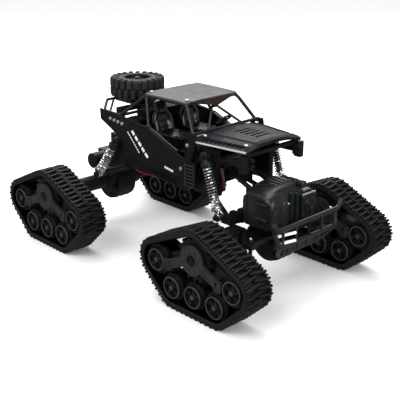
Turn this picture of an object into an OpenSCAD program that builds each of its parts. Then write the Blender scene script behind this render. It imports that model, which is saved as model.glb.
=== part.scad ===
// Radio-controlled rock crawler on four triangular rubber track units.
// Front is +X, left is +Y, up is +Z; the ground is z = 0 and x = 0 is midway between the axles.

/* [Stance] */
// Distance between front and rear axle
wheelbase = 200; // [190:1:215]
// Centre of a track unit from the middle of the car
track_y = 78; // [76:1:84]

/* [Track unit] */
// Height of the drive hub
hub_z = 49.3; // [49:0.1:52]
// Outer radius of the belt round the drive sprocket, lugs included
top_r = 25.3; // [24.5:0.1:26]
// Idler centre, fore and aft of the hub
idler_x = 42; // [41:0.5:45]
// Idler height
idler_z = 36.6; // [35:0.1:38]
// Outer radius of the belt round an idler, lugs included
idler_r = 19.2; // [18.6:0.1:20]
// Spacing of the three road wheels
road_x = 24; // [24:0.5:25]
// Outer radius of the belt round a road wheel, lugs included
road_r = 17.7; // [17.4:0.1:17.8]
// Belt width
belt_w = 27; // [26:0.5:30]
// Thickness of the belt band
band_t = 3.1; // [2.8:0.1:3.4]
// Height of the tread lugs
lug_h = 2.6; // [2:0.1:3]
// Number of tread lugs round one belt
lugs = 54; // [40:2:64]

/* [Body] */
// Height of the roof plate
roof_z = 152; // [148:1:158]
// Outer face of the side panels, from the middle of the car
side_y = 42; // [41:0.5:44]
// Thickness of the sheet panels
sheet = 1.6; // [1.2:0.1:2]
// Radius of the roll cage tubes
cage_r = 1.5; // [1.2:0.1:1.8]
// Radius of the spare tyre
spare_r = 25.3; // [24:0.1:27]

/* [Suspension] */
// Chassis pivot of the lower links, from midway between the axles
link_x = 50; // [49:0.5:51]
// Height of that pivot
link_z = 78; // [77:0.5:79]
// Fore and aft run of a link
link_dx = 34; // [33:0.5:35]
// Drop of a link from chassis to axle
link_dz = 14; // [13:0.5:15]
// Radius of link and shock pins
pin_r = 2; // [1.8:0.1:2.1]
// Radius of a drive shaft
shaft_r = 3; // [2.8:0.1:3.1]
// Radial running clearance in every bore
run = 0.05; // [0.03:0.01:0.08]

/* [Hidden] */
$fn = 48;
axle_x = wheelbase / 2;
road_z = road_r;
king_y = 50;                // kingpin from the middle of the car
arm_x = 24;                 // steering arm length, kingpin to tie rod
tie_z = 57;                 // height of the tie rod
roll_z = 66;                // height of the fore and aft roll pin
shock_y = 41;               // plane of the shocks
eye_x = 80;                 // lower shock eye, fore and aft
eye_z = 66;                 // lower shock eye, height
front_top = [64, 114];      // upper shock eye of the front pair, x and z
rear_top = [51, 103];       // the same for the rear pair, x counted rearward
upper_dx = 8;               // upper link pivot ahead of the lower one
upper_dz = 20;              // and above it
wheel_face = 12.2;          // rim face from the middle of the track unit
drum_face = 9;              // outer edge of the wheel drums
web_t = 8.4;                // thickness of the centre web of a track frame
road_drum = road_r - lug_h - band_t - 0.4;
idler_drum = idler_r - lug_h - band_t - 0.4;
tooth_tip = top_r - lug_h - band_t - 0.4;

// ---------- helpers ----------

// Round bar from a to b
module rod(a, b, r, n = 20) {
    v = b - a;
    translate(a) rotate([0, acos(v[2] / norm(v)), atan2(v[1], v[0])])
        cylinder(h = norm(v), r = r, $fn = n);
}

// Eight-sided bar from a to b, for the cage and the bumper
module tube(a, b, r) rod(a, b, r * 1.04, 8);

// Flat bar in a plane of constant y: from a to b in (x, z), height h, spanning y0 to y1
module strap(a, b, h, y0, y1) {
    v = b - a;
    translate([a[0], y0, a[1]]) rotate([0, -atan2(v[1], v[0]), 0])
        translate([0, 0, -h / 2]) cube([norm(v), y1 - y0, h]);
}

// Box given by its two corners
module box(a, b) translate(a) cube(b - a);

// Round bar along Y, between y0 and y1
module bar_y(x, z, r, y0, y1) translate([x, y1, z]) rotate([90, 0, 0]) cylinder(h = y1 - y0, r = r);

// Both sides of the car: the children drawn on the right (-Y) and mirrored to the left
module both_sides() {
    children();
    mirror([0, 1, 0]) children();
}

// A rear part is the front part turned end for end
module rear() mirror([1, 0, 0]) children();

// ---------- track unit, drawn at the origin with its outer side towards -Y ----------

// Places a track unit at one corner: end is 1 front or -1 rear, side is 1 left or -1 right
module at_unit(end, side)
    translate([end * axle_x, side * track_y, 0]) mirror([0, side > 0 ? 1 : 0, 0]) children();

// The five wheels the belt wraps, as [x, z, radius of the band's outer face], in turning order
wraps = [
    [-road_x, road_z, road_r - lug_h], [road_x, road_z, road_r - lug_h],
    [idler_x, idler_z, idler_r - lug_h], [0, hub_z, top_r - lug_h],
    [-idler_x, idler_z, idler_r - lug_h]];

// Direction of the outward normal on the straight run from wheel i to the next
function run_angle(i) = let (a = wraps[i], b = wraps[(i + 1) % 5], d = [b[0] - a[0], b[1] - a[1]])
    atan2(d[1], d[0]) - acos((a[2] - b[2]) / norm(d));
function run_length(i) = let (a = wraps[i], b = wraps[(i + 1) % 5])
    sqrt(pow(b[0] - a[0], 2) + pow(b[1] - a[1], 2) - pow(a[2] - b[2], 2));
// Angle and length of the belt's wrap round wheel i
function wrap_sweep(i) = (run_angle(i) - run_angle((i + 4) % 5) + 720) % 360;
function wrap_length(i) = wraps[i][2] * wrap_sweep(i) * PI / 180;
function part_length(i) = wrap_length(i) + run_length(i);
belt_length = part_length(0) + part_length(1) + part_length(2) + part_length(3) + part_length(4);

// Point at distance s along the belt, e outside the band's outer face
function belt_point(s, e, i = 0) =
    s > part_length(i) && i < 4 ? belt_point(s - part_length(i), e, i + 1) :
    let (c = wraps[i], a = run_angle((i + 4) % 5), on_wheel = s < wrap_length(i),
         t = on_wheel ? a + s / c[2] * 180 / PI : run_angle(i),
         run = on_wheel ? 0 : s - wrap_length(i))
    [c[0] + (c[2] + e) * cos(t) - run * sin(t), c[1] + (c[2] + e) * sin(t) + run * cos(t)];

module track_belt() color([0.13, 0.13, 0.14]) {
    pitch = belt_length / lugs;
    translate([0, belt_w / 2, 0]) rotate([90, 0, 0]) difference() {
        linear_extrude(belt_w) polygon([for (k = [0 : lugs - 1]) each [
            belt_point(k * pitch, 0), belt_point((k + 0.1) * pitch, lug_h),
            belt_point((k + 0.45) * pitch, lug_h), belt_point((k + 0.55) * pitch, 0),
            belt_point((k + 0.8) * pitch, 0)]]);
        translate([0, 0, -1]) linear_extrude(belt_w + 2)
            polygon([for (k = [0 : 119]) belt_point(k * belt_length / 120, -band_t)]);
    }
}

// Hub disc, arms and end bosses of a side plate, between y0 and y1
module track_side_plate(y0, y1) {
    bar_y(0, hub_z, 12.4, y0, y1);
    for (s = [-1, 1]) {
        strap([s * 6, hub_z - 2], [s * 27, 38], 7.6, y0, y1);
        box([s * 28.2 - 3.6, y0 - 0.1, 32.6], [s * 28.2 + 3.6, y1 + 0.1, 41.4]);
    }
}

module track_frame() color([0.2, 0.2, 0.21]) difference() {
    union() {
        track_side_plate(-12.7, -9.9);
        track_side_plate(9.9, 12.7);
        for (s = [-1, 1]) {
            // post that joins the side plates to the centre web
            box([s * 24 - 3, -12.6, 35.5], [s * 24 + 3, 12.6, 42]);
            strap([s * 3, hub_z - 1], [s * idler_x, idler_z], 8.6, -web_t / 2 + 0.3, web_t / 2 - 0.3);
            strap([s * idler_x, idler_z], [s * road_x, road_z], 8, -web_t / 2 + 0.5, web_t / 2 - 0.5);
            bar_y(s * idler_x, idler_z, 5, -web_t / 2, web_t / 2);
            bar_y(s * road_x, road_z, 5, -web_t / 2, web_t / 2);
        }
        strap([-road_x, road_z], [road_x, road_z], 8, -web_t / 2 + 0.3, web_t / 2 - 0.3);
        strap([0, road_z], [0, hub_z - 3], 9, -web_t / 2 + 0.6, web_t / 2 - 0.6);
        bar_y(0, hub_z, 9, -web_t / 2, web_t / 2);
        bar_y(0, road_z, 5, -web_t / 2, web_t / 2);
    }
    bar_y(0, hub_z, shaft_r + run, -20, 20);
    for (s = [-1, 1]) bar_y(s * idler_x, idler_z, pin_r + run, -20, 20);
    for (s = [-1, 0, 1]) bar_y(s * road_x, road_z, pin_r + run, -20, 20);
}

// A pair of drums on one axle, with a dished five-spoke face each side
module track_wheel(x, z, drum) color([0.16, 0.16, 0.17]) translate([x, 0, z]) {
    bar_y(0, 0, pin_r, -drum_face, drum_face);
    for (s = [-1, 1]) mirror([0, s > 0 ? 1 : 0, 0]) {
        difference() {
            union() {
                bar_y(0, 0, drum, -drum_face, -web_t / 2 - 0.6);
                bar_y(0, 0, 9.4, -wheel_face, -drum_face);
            }
            bar_y(0, 0, 8.3, -wheel_face - 1, -8);
        }
        bar_y(0, 0, 2.8, -wheel_face + 0.3, -8);
        for (a = [0 : 72 : 288]) rotate([0, a, 0]) box([1.5, -11, -1.3], [8.6, -8, 1.3]);
    }
}

// Drive sprocket pair with its shaft, which reaches through the frame into the axle
module track_sprocket() color([0.12, 0.12, 0.13]) translate([0, 0, hub_z]) {
    bar_y(0, 0, shaft_r, -13.2, track_y - king_y + 3);
    for (s = [-1, 1]) mirror([0, s > 0 ? 1 : 0, 0]) {
        bar_y(0, 0, 16.4, -9.3, -web_t / 2 - 0.6);
        for (k = [0 : 15]) rotate([0, k * 22.5, 0])
            box([15, -9.1, -1.6], [tooth_tip - 0.3, -web_t / 2 - 0.8, 1.6]);
    }
}

module front_right_frame() at_unit(1, -1) track_frame();
module front_right_belt() at_unit(1, -1) track_belt();
module front_right_sprocket() at_unit(1, -1) track_sprocket();
module front_right_idler_front() at_unit(1, -1) track_wheel(idler_x, idler_z, idler_drum);
module front_right_idler_rear() at_unit(1, -1) track_wheel(-idler_x, idler_z, idler_drum);
module front_right_road_front() at_unit(1, -1) track_wheel(road_x, road_z, road_drum);
module front_right_road_mid() at_unit(1, -1) track_wheel(0, road_z, road_drum);
module front_right_road_rear() at_unit(1, -1) track_wheel(-road_x, road_z, road_drum);

module front_left_frame() at_unit(1, 1) track_frame();
module front_left_belt() at_unit(1, 1) track_belt();
module front_left_sprocket() at_unit(1, 1) track_sprocket();
module front_left_idler_front() at_unit(1, 1) track_wheel(idler_x, idler_z, idler_drum);
module front_left_idler_rear() at_unit(1, 1) track_wheel(-idler_x, idler_z, idler_drum);
module front_left_road_front() at_unit(1, 1) track_wheel(road_x, road_z, road_drum);
module front_left_road_mid() at_unit(1, 1) track_wheel(0, road_z, road_drum);
module front_left_road_rear() at_unit(1, 1) track_wheel(-road_x, road_z, road_drum);

module rear_right_frame() at_unit(-1, -1) track_frame();
module rear_right_belt() at_unit(-1, -1) track_belt();
module rear_right_sprocket() at_unit(-1, -1) track_sprocket();
module rear_right_idler_front() at_unit(-1, -1) track_wheel(idler_x, idler_z, idler_drum);
module rear_right_idler_rear() at_unit(-1, -1) track_wheel(-idler_x, idler_z, idler_drum);
module rear_right_road_front() at_unit(-1, -1) track_wheel(road_x, road_z, road_drum);
module rear_right_road_mid() at_unit(-1, -1) track_wheel(0, road_z, road_drum);
module rear_right_road_rear() at_unit(-1, -1) track_wheel(-road_x, road_z, road_drum);

module rear_left_frame() at_unit(-1, 1) track_frame();
module rear_left_belt() at_unit(-1, 1) track_belt();
module rear_left_sprocket() at_unit(-1, 1) track_sprocket();
module rear_left_idler_front() at_unit(-1, 1) track_wheel(idler_x, idler_z, idler_drum);
module rear_left_idler_rear() at_unit(-1, 1) track_wheel(-idler_x, idler_z, idler_drum);
module rear_left_road_front() at_unit(-1, 1) track_wheel(road_x, road_z, road_drum);
module rear_left_road_mid() at_unit(-1, 1) track_wheel(0, road_z, road_drum);
module rear_left_road_rear() at_unit(-1, 1) track_wheel(-road_x, road_z, road_drum);

// ---------- body ----------

// Side panel outline in (x, z)
panel = [
    [-72, 130], [-47, 128.5], [-8, 124.5], [29, 110], [40, 106.5], [44, 128.5], [51.5, 128.5],
    [53, 121], [47.5, 106], [54, 105.6], [53.4, 85.6], [41, 80], [-28, 87], [-43.5, 108],
    [-56, 114], [-71.5, 121]];

module side_panels() color([0.15, 0.15, 0.16]) both_sides() {
    difference() {
        translate([0, -side_y + sheet, 0]) rotate([90, 0, 0]) linear_extrude(sheet) polygon(panel);
        // ladder slots of the side step
        for (k = [0 : 5]) box([43.4, -side_y - 1, 85.6 + k * 3], [51.4, -side_y + 3, 87.2 + k * 3]);
    }
    // raised rocker strip along the lower edge
    strap([-2, 87.6], [31, 84.4], 6, -side_y - 1, -side_y + 0.4);
}

module roof_panel() color([0.62, 0.62, 0.64]) difference() {
    union() {
        translate([0, 0, roof_z - sheet]) linear_extrude(sheet)
            polygon([[-21, -32.5], [32, -30.8], [32, 30.8], [-21, 32.5]]);
        // pointed visor below the front edge
        translate([36.2, 0, roof_z - 7]) rotate([0, -29, 0]) translate([-1.2, 0, 0]) rotate([90, 0, 90])
            linear_extrude(1.2) polygon([[-27.2, 7], [0, 0], [27.2, 7]]);
    }
    for (x = [-17, 28], s = [-1, 1]) translate([x, s * 27, roof_z - 5]) cylinder(h = 10, r = 1.1 + run);
}

module roll_cage() color([0.17, 0.17, 0.18]) {
    r = cage_r;
    z = roof_z - sheet - r - 0.1;
    both_sides() {
        tube([-19.5, -30.8, z], [30.5, -29.4, z], r);                // roof rail
        tube([30.5, -29.4, z], [46.5, -37.5, 128], r);               // front pillar
        tube([-19.5, -30.8, z], [-8, -38.7, 124], r);                // rear pillar
        tube([-19.5, -30.8, z], [-47, -38.8, 127.6], r);             // rear stay
        tube([33.2, -3, z - 5.5], [46.5, -20, 128], 1.1);            // windscreen strut
        tube([-8, -38.7, 124], [29, -38.7, 110], r);                 // door bar
        tube([-70, -38.8, 128.2], [-47, -38.8, 127.6], r);           // tail rail
        tube([-70, -38.8, 128.2], [-77, -30, 135.4], 1.1);           // tail rack leg
        tube([-62, -38.8, 127.8], [-77, -22, 135.4], 1.1);           // tail rack leg
    }
    tube([-77, -30, 135.4], [-77, 30, 135.4], 1.3);                  // tail rack bar
    tube([-19.5, -30.8, z], [-19.5, 30.8, z], r);                    // roof crossbars
    tube([30.5, -29.4, z], [30.5, 29.4, z], r);
    tube([33.2, -3, z - 5.5], [33.2, 3, z - 5.5], 1.1);
    tube([30.5, 0, z], [33.2, 0, z - 5.5], 1.1);
    tube([46.5, -37.5, 128], [46.5, 37.5, 128], r);                  // scuttle bar
    tube([-47, -38.8, 127.6], [-47, 38.8, 127.6], r);                // tail crossbar
    // deck below the spare wheel, with its spindle
    box([-86, -13, 130.6], [-45.5, 13, 132.8]);
    box([-48.5, -13, 127.6], [-45.5, 13, 131]);
    translate([-69, 0, 132]) cylinder(h = 5, r = 6);
    translate([-69, 0, 132]) cylinder(h = 22, r = 2.3);
}

// Hood profile across the car: a shallow crown with turned-down edges
module hood_panel() color([0.3, 0.29, 0.33]) difference() {
    union() {
        intersection() {
            translate([49, 0, 0]) rotate([90, 0, 90]) linear_extrude(54) polygon([
                [-41, 123.2], [-35, 124.8], [-18, 126.8], [0, 127.4], [18, 126.8], [35, 124.8], [41, 123.2],
                [41, 125], [35, 126.6], [18, 128.6], [0, 129.2], [-18, 128.6], [-35, 126.6], [-41, 125]]);
            translate([0, 0, 110]) linear_extrude(30)
                polygon([[49, -40.4], [101, -33], [101, 33], [49, 40.4]]);
        }
        // nose lip that droops at the front
        strap([99.8, 126.4], [102.4, 123.4], 1.6, -32.6, 32.6);
    }
    // louvres along both edges, and the bolt holes
    for (s = [-1, 1], k = [0 : 9])
        translate([57 + k * 4, s * (35.6 - k * 0.55), 120]) rotate([0, 0, s * -25])
            translate([-0.6, -2, 0]) cube([1.2, 4, 12]);
    for (s = [-1, 1], p = [[54, 31], [96, 27]]) translate([p[0], s * p[1], 115]) cylinder(h = 20, r = 1.1 + run);
}

module cabin_interior() color([0.1, 0.1, 0.11]) {
    box([-26, -30, 105.2], [44, 30, 107.4]);                    // floor
    box([36, -29, 107], [43, 29, 126]);                         // dashboard
    box([-29, -34, 105.2], [-25, 34, 125]);                     // bulkhead behind the seats
    box([-44.6, -35.2, 121.5], [-25, 35.2, 125]);               // parcel shelf
    box([-44, -22, 124], [-30, 22, 131.6]);
    both_sides() {
        box([-14, -27, 107], [10, -5, 114]);                    // seat cushion
        translate([-14, 0, 108]) rotate([0, -14, 0]) {
            box([-5, -27, 0], [0, -5, 30]);                     // seat back
            box([-5, -28.5, 3], [4, -25, 26]);                  // bolsters
            box([-5, -7, 3], [4, -3.5, 26]);
        }
        box([-10, -28.5, 112], [9, -25, 118]);                  // cushion bolster
    }
    rod([36, 14, 122], [31, 14, 129], 1.6);                     // steering column
    translate([31, 14, 129]) rotate([0, -36, 0]) {
        rotate_extrude() translate([6.6, 0]) circle(r = 1, $fn = 16);
        box([-6.6, -1, -0.7], [6.6, 1, 0.7]);
        cylinder(h = 2, r = 2, center = true);
    }
}

// Battery, receiver and speed controller in one closed tray
module electronics_box() color([0.09, 0.09, 0.1]) {
    box([-34, -25, 81.2], [38, 25, 100]);
    box([-28, -22, 100], [32, 22, 103.5]);
}

module spare_wheel() color([0.14, 0.14, 0.15]) translate([-69, 0, 137]) difference() {
    union() {
        cylinder(h = 17.5, r = spare_r - 2.4);
        for (k = [0 : 17]) rotate([0, 0, k * 20]) {
            box([spare_r - 4, -2.6, 0.6], [spare_r, 2.6, 8.2]);
            rotate([0, 0, 10]) box([spare_r - 4, -2.6, 9.3], [spare_r, 2.6, 16.9]);
        }
    }
    translate([0, 0, 12]) cylinder(h = 6, r = 13);
    translate([0, 0, -1]) cylinder(h = 3, r = 13);
    translate([0, 0, -1]) cylinder(h = 20, r = 2.5 + run);
}

// Pan-head screws that show on the panels, the hood and the roof
module pan_screw() { cylinder(h = 1.2, r1 = 2, r2 = 1.4); translate([0, 0, -1.5]) cylinder(h = 2, r = 1.1); }
module body_screws() color([0.85, 0.85, 0.86]) {
    for (s = [-1, 1]) {
        for (p = [[54, 31, 127.5], [96, 27, 127.9]]) translate([p[0], s * p[1], p[2]]) pan_screw();
        for (x = [-17, 28]) translate([x, s * 27, roof_z]) pan_screw();
        for (p = [[44.5, 119.5], [36.5, 97.5], [-57, 123.4], [-51.5, 122.8], [-46, 122.2], [-40.5, 121.6]])
            translate([p[0], s * side_y, p[1]]) rotate([s * -90, 0, 0]) cylinder(h = 1.2, r1 = 1.9, r2 = 1.3);
    }
}

module chassis_frame() color([0.12, 0.12, 0.13]) {
    box([-42, -30, 78], [43, 30, 81]);                                  // belly plate
    both_sides() {
        box([-68, -34, 80], [72, -29, 88]);                             // side rails
        box([-40, -side_y + sheet, 88], [-24, -29, 96]);                // panel stand-offs
        box([26, -side_y + sheet, 88], [38, -29, 96]);
        // shock towers and their pins
        box([56, -35, 80], [71, -30, front_top[1] + 4]);
        bar_y(front_top[0], front_top[1], pin_r, -shock_y - 4.4, -34);
        box([-67, -35, 80], [-45, -30, rear_top[1] + 4]);
        bar_y(-rear_top[0], rear_top[1], pin_r, -shock_y - 4.4, -34);
        // bar below the hood edge, and the nose block it carries
        rod([38, -38.4, 103.5], [53, -33.9, 106.6], 2);
        rod([50, -34.3, 106], [99, -32.8, 116], 1.6);
        box([96.5, -36, 106.5], [103, -31.2, 120]);
        rod([64, -32, 111.5], [99, -32.8, 112], 2);
        for (z = [111.8, 116.6]) rod([100.5, -28.6, z], [105.2, -28.6, z], 1.9);   // lamp pods
        box([98, -32.4, 109.4], [101.5, -27.2, 118.8]);
        for (s = [-1, 1]) {
            // ears and pins of the lower links
            box([s > 0 ? 46 : -54, -18.8, 74], [s > 0 ? 54 : -46, -17, 85]);
            box([s > 0 ? 46 : -54, -27.7, 74], [s > 0 ? 54 : -46, -25.9, 85]);
            bar_y(s * link_x, link_z, pin_r, -26.5, -18);
            // ears and pins of the upper links
            box([s > 0 ? 54 : -62, -9, 95], [s > 0 ? 62 : -54, -7.5, 105]);
            box([s > 0 ? 54 : -62, -16.5, 95], [s > 0 ? 62 : -54, -15, 105]);
            bar_y(s * (link_x + upper_dx), link_z + upper_dz, pin_r, -16, -8);
        }
    }
    for (s = [-1, 1]) {
        box([s > 0 ? 44 : -58, -30, 83.6], [s > 0 ? 58 : -44, 30, 87.6]);
        box([s > 0 ? 54 : -66, -31, 102.6], [s > 0 ? 66 : -54, 31, 106]);
    }
    box([96, -32, 118.2], [100, 32, 121]);                              // nose crossbar
    box([-64, -30, 106], [-56, -26, 130.5]);                            // posts of the spare deck
    box([-64, 26, 106], [-56, 30, 130.5]);
    box([-64, -30, 127], [-56, 30, 130.5]);
    both_sides() {
        box([40, -30, 88], [44, -26, 105.2]);                           // cabin supports
        box([-44, -30, 87], [-38, -26, 105.2]);
        box([-44, -30, 103], [-26, -26, 105.2]);
        // brackets behind the screw rows and pillar feet
        box([-60, -side_y + sheet, 118], [-38, -36, 126]);
        box([-60, -38, 118], [-56, -28, 124]);
        box([42, -side_y + sheet, 105.5], [48, -36, 126.3]);
    }
}

// ---------- suspension, drawn for the front; the rear is the same part turned round ----------

// Pair of link bars with an eye at each end; y0 and y1 are the eye centres
module link_pair(x, z, y0, y1, eye_w) color([0.18, 0.18, 0.19]) both_sides() difference() {
    a = [x, -y0, z];
    b = [x + link_dx, -y1, z - link_dz];
    union() {
        rod(a, b, 2.1);
        bar_y(a[0], a[2], 3.8, a[1] - eye_w / 2, a[1] + eye_w / 2);
        bar_y(b[0], b[2], 3.8, b[1] - eye_w / 2, b[1] + eye_w / 2);
    }
    bar_y(a[0], a[2], pin_r + run, a[1] - 8, a[1] + 8);
    bar_y(b[0], b[2], pin_r + run, b[1] - 8, b[1] + 8);
}
module lower_links() link_pair(link_x, link_z, 22, 33, 5.4);
module upper_links() link_pair(link_x + upper_dx, link_z + upper_dz, 12, 12, 5);
module front_lower_links() lower_links();
module front_upper_links() upper_links();
module rear_lower_links() rear() lower_links();
module rear_upper_links() rear() upper_links();

// Bracket between links, shocks and axle, with the roll pin the axle turns on
module truss() color([0.14, 0.14, 0.15]) {
    lx = link_x + link_dx;
    lz = link_z - link_dz;
    ux = lx + upper_dx;
    uz = lz + upper_dz;
    box([84.5, -24, 59], [90.5, 24, 70]);                       // cross plate
    box([87, -20, 70], [90.5, 20, 79]);
    translate([90, 0, roll_z]) rotate([0, 90, 0]) cylinder(h = 21, r = shaft_r);
    translate([90, 0, roll_z]) rotate([0, 90, 0]) cylinder(h = 3, r = 6);
    both_sides() {
        box([lx - 4, -28.6, lz - 4], [90.5, -23.5, lz + 4]);    // lower link ears
        box([88.3, -37.5, lz - 3.5], [90.5, -28, lz + 3.5]);
        box([lx - 4, -38, lz - 3.5], [90.5, -36.3, lz + 3.5]);
        bar_y(lx, lz, pin_r, -37, -28);
        rod([eye_x, -37.2, eye_z], [eye_x, -46, eye_z], pin_r); // shock eye pin
        box([eye_x - 2.5, -38, eye_z - 3], [lx, -36.3, eye_z + 1.5]);
        box([ux - 5, -9, 78], [ux - 1.5, -7.5, uz + 4]);        // upper link ears
        box([ux - 5, -16.5, 78], [ux - 1.5, -15, uz + 4]);
        box([ux - 2, -9, uz - 4], [ux + 3, -7.5, uz + 4]);
        box([ux - 2, -16.5, uz - 4], [ux + 3, -15, uz + 4]);
        bar_y(ux, uz, pin_r, -16, -8);
    }
}
module front_truss() truss();
module rear_truss() rear() truss();

// A shock points down its own -Z; top is the upper eye in (x, z), tilt its angle from upright
module on_shock(top) both_sides()
    translate([top[0], -shock_y, top[1]]) rotate([0, -atan2(eye_x - top[0], top[1] - eye_z), 0]) children();
function shock_len(top) = norm([eye_x - top[0], top[1] - eye_z]);

module shock_bodies(top) color([0.2, 0.2, 0.21]) on_shock(top) difference() {
    union() {
        bar_y(0, 0, 3.8, -2.6, 2.6);
        translate([0, 0, -shock_len(top) * 0.62]) cylinder(h = shock_len(top) * 0.62 - 2, r = 2.7);
        translate([0, 0, -9]) cylinder(h = 4.5, r = 4.7);
    }
    bar_y(0, 0, pin_r + run, -5, 5);
    translate([0, 0, -shock_len(top)]) cylinder(h = shock_len(top) - 10, r = 1.35);
}
module shock_rods(top) color([0.75, 0.76, 0.78]) on_shock(top) translate([0, 0, -shock_len(top)]) difference() {
    union() {
        bar_y(0, 0, 3.6, -2.6, 2.6);
        cylinder(h = shock_len(top) - 18, r = 1.3);
        translate([0, 0, 5.4]) cylinder(h = 2.2, r = 4.7);
        cylinder(h = 6, r = 2.4);
    }
    bar_y(0, 0, pin_r + 0.4, -5, 5);
}
// Coil springs, drawn as plain sleeves between the two seats
module springs(top) color([0.8, 0.81, 0.83]) on_shock(top) difference() {
    translate([0, 0, 7.7 - shock_len(top)]) cylinder(h = shock_len(top) - 16.8, r = 4.3);
    translate([0, 0, -shock_len(top)]) cylinder(h = shock_len(top), r = 3.3);
}
module front_shock_bodies() shock_bodies(front_top);
module front_shock_rods() shock_rods(front_top);
module front_springs() springs(front_top);
module rear_shock_bodies() rear() shock_bodies(rear_top);
module rear_shock_rods() rear() shock_rods(rear_top);
module rear_springs() rear() springs(rear_top);

// ---------- axles ----------

// Gear case below the middle of an axle
module gear_case() {
    bar_y(axle_x + 6, 44, 17, -10.5, 10.5);
    bar_y(axle_x + 3, hub_z, 11.5, -20, 20);
}

module front_axle_housing() color([0.13, 0.13, 0.14]) difference() {
    union() {
        gear_case();
        bar_y(axle_x, hub_z, 7.5, -41, 41);
        both_sides() {
            box([axle_x - 7, -41.4, 35.4], [axle_x + 7, -37, 63.2]);    // yoke round the knuckle
            for (z = [35.4, 59.6]) {
                box([axle_x - 5.5, -king_y, z], [axle_x + 5.5, -39, z + 3.6]);
                translate([axle_x, -king_y, z]) cylinder(h = 3.6, r = 5.5);
            }
            box([axle_x + 4, -25, 46], [axle_x + 23.6, -20, 52]);       // bumper arms
        }
    }
    both_sides() translate([axle_x, -king_y, 20]) cylinder(h = 60, r = pin_r + run);
}

// Profile of the front gearbox across the car, as (y, z)
gearbox_profile = [
    [-28, 62], [-28, 87], [-24, 91], [-13, 94.5], [8, 95.3], [9, 90], [17, 88.8], [17, 85], [29, 84], [29, 62]];

module front_gearbox() color([0.16, 0.16, 0.18]) difference() {
    union() {
        translate([axle_x - 2.8, 0, 0]) rotate([90, 0, 90]) linear_extrude(21.3) polygon(gearbox_profile);
        box([axle_x + 18, -28, 62], [axle_x + 26, -8, 86.5]);           // motor end, right
        box([axle_x + 17, -9, 62], [axle_x + 23, 12, 90]);              // gear column
        box([axle_x + 18, 11, 62], [axle_x + 24.6, 29, 83]);            // cover, left
        box([axle_x - 5.5, -27.6, 63.5], [axle_x - 2, -21, 85.5]);      // fins behind the motor
        box([axle_x, -12, 61.1], [axle_x + 12, 12, 63]);                // foot on the gear case
        for (x = [axle_x, axle_x + 12.6]) translate([x, 13.2, 92]) rotate([0, 90, 0]) cylinder(h = 11.4, r = 3.2);
    }
    translate([axle_x - 10, 0, roll_z]) rotate([0, 90, 0]) cylinder(h = 22, r = shaft_r + run);
}

module front_bumper() color([0.2, 0.2, 0.21]) {
    x = axle_x + 41;
    tube([x, -38, 70.4], [x, 38, 70.4], 2);
    tube([x, -35, 56], [x, 35, 56], 2);
    for (y = [-32, -16, 0, 16, 32]) tube([x, y, 56], [x, y, 70.4], 1.5);
    both_sides() {
        tube([x, -38, 70.4], [x - 1, -42, 76.5], 2);
        tube([x - 4, -38, 68], [x, -37, 70.4], 1.3);
        tube([x, -35, 56], [x - 4, -38, 68], 1.6);
        tube([axle_x + 25, -22.5, 49], [x, -22.5, 57], 2.6);
        tube([x - 10, -25.5, 43], [x, -35, 56], 1.5);
    }
    tube([x - 10, -25.5, 43], [x - 10, 25.5, 43], 1.8);              // skid bar
    box([x - 8, -24, 44], [x - 6, 24, 53]);                             // skid plate
    strap([x - 7, 52], [x, 56], 2, -24, 24);
    // pair of light bars at the right end
    for (z = [58.8, 65.4]) {
        tube([x - 1.6, -36, z], [x + 2.4, -19, z], 1.3);
        tube([x - 1, -31.5, z], [x, -31.5, z], 1.1);
        tube([x, -20, z], [x + 2.4, -20, z], 1.1);
    }
}

module rear_axle_housing() color([0.13, 0.13, 0.14]) rear() difference() {
    union() {
        gear_case();
        bar_y(axle_x, hub_z, 7.5, -51, 51);
        bar_y(axle_x, hub_z, 6, -62.5, 62.5);
        box([axle_x - 4, -15, 56], [axle_x + 15, 17, 78]);              // motor case
        bar_y(axle_x + 5, 70, 7.5, -30, 15);
    }
    bar_y(axle_x, hub_z, shaft_r + run, -70, -40);
    bar_y(axle_x, hub_z, shaft_r + run, 40, 70);
    translate([axle_x - 10, 0, roll_z]) rotate([0, 90, 0]) cylinder(h = 22, r = shaft_r + run);
}

// ---------- steering ----------

module knuckle() color([0.17, 0.17, 0.18]) {
    difference() {
        union() {
            box([axle_x - 6.5, -54, 40], [axle_x + 6.5, -45.5, 58.6]);
            bar_y(axle_x, hub_z, 6.2, -62.5, -53);
        }
        bar_y(axle_x, hub_z, shaft_r + run, -70, -40);
    }
    translate([axle_x, -king_y, 35.6]) cylinder(h = 5, r = pin_r);
    translate([axle_x, -king_y, 58]) cylinder(h = 5, r = pin_r);
    box([axle_x + 6, -king_y - 2.5, 44], [axle_x + arm_x + 2.5, -king_y + 2.5, 48]);
    translate([axle_x + arm_x, -king_y, 44]) cylinder(h = tie_z - 44 + 4.5, r = 1.5);
}
module knuckle_right() knuckle();
module knuckle_left() mirror([0, 1, 0]) knuckle();

// Tie rod with slotted eyes, which let the arm ends swing on their arc
module tie_rod() color([0.16, 0.16, 0.17]) {
    x = axle_x + arm_x;
    rod([x, -king_y + 4, tie_z], [x, king_y - 4, tie_z], 1.8);
    both_sides() difference() {
        box([x - 5, -king_y - 3.4, tie_z - 2], [x + 4, -king_y + 5, tie_z + 2]);
        box([x - 3.6, -king_y - 1.9, tie_z - 3], [x + 2, -king_y + 1.9, tie_z + 3]);
    }
}

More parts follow.
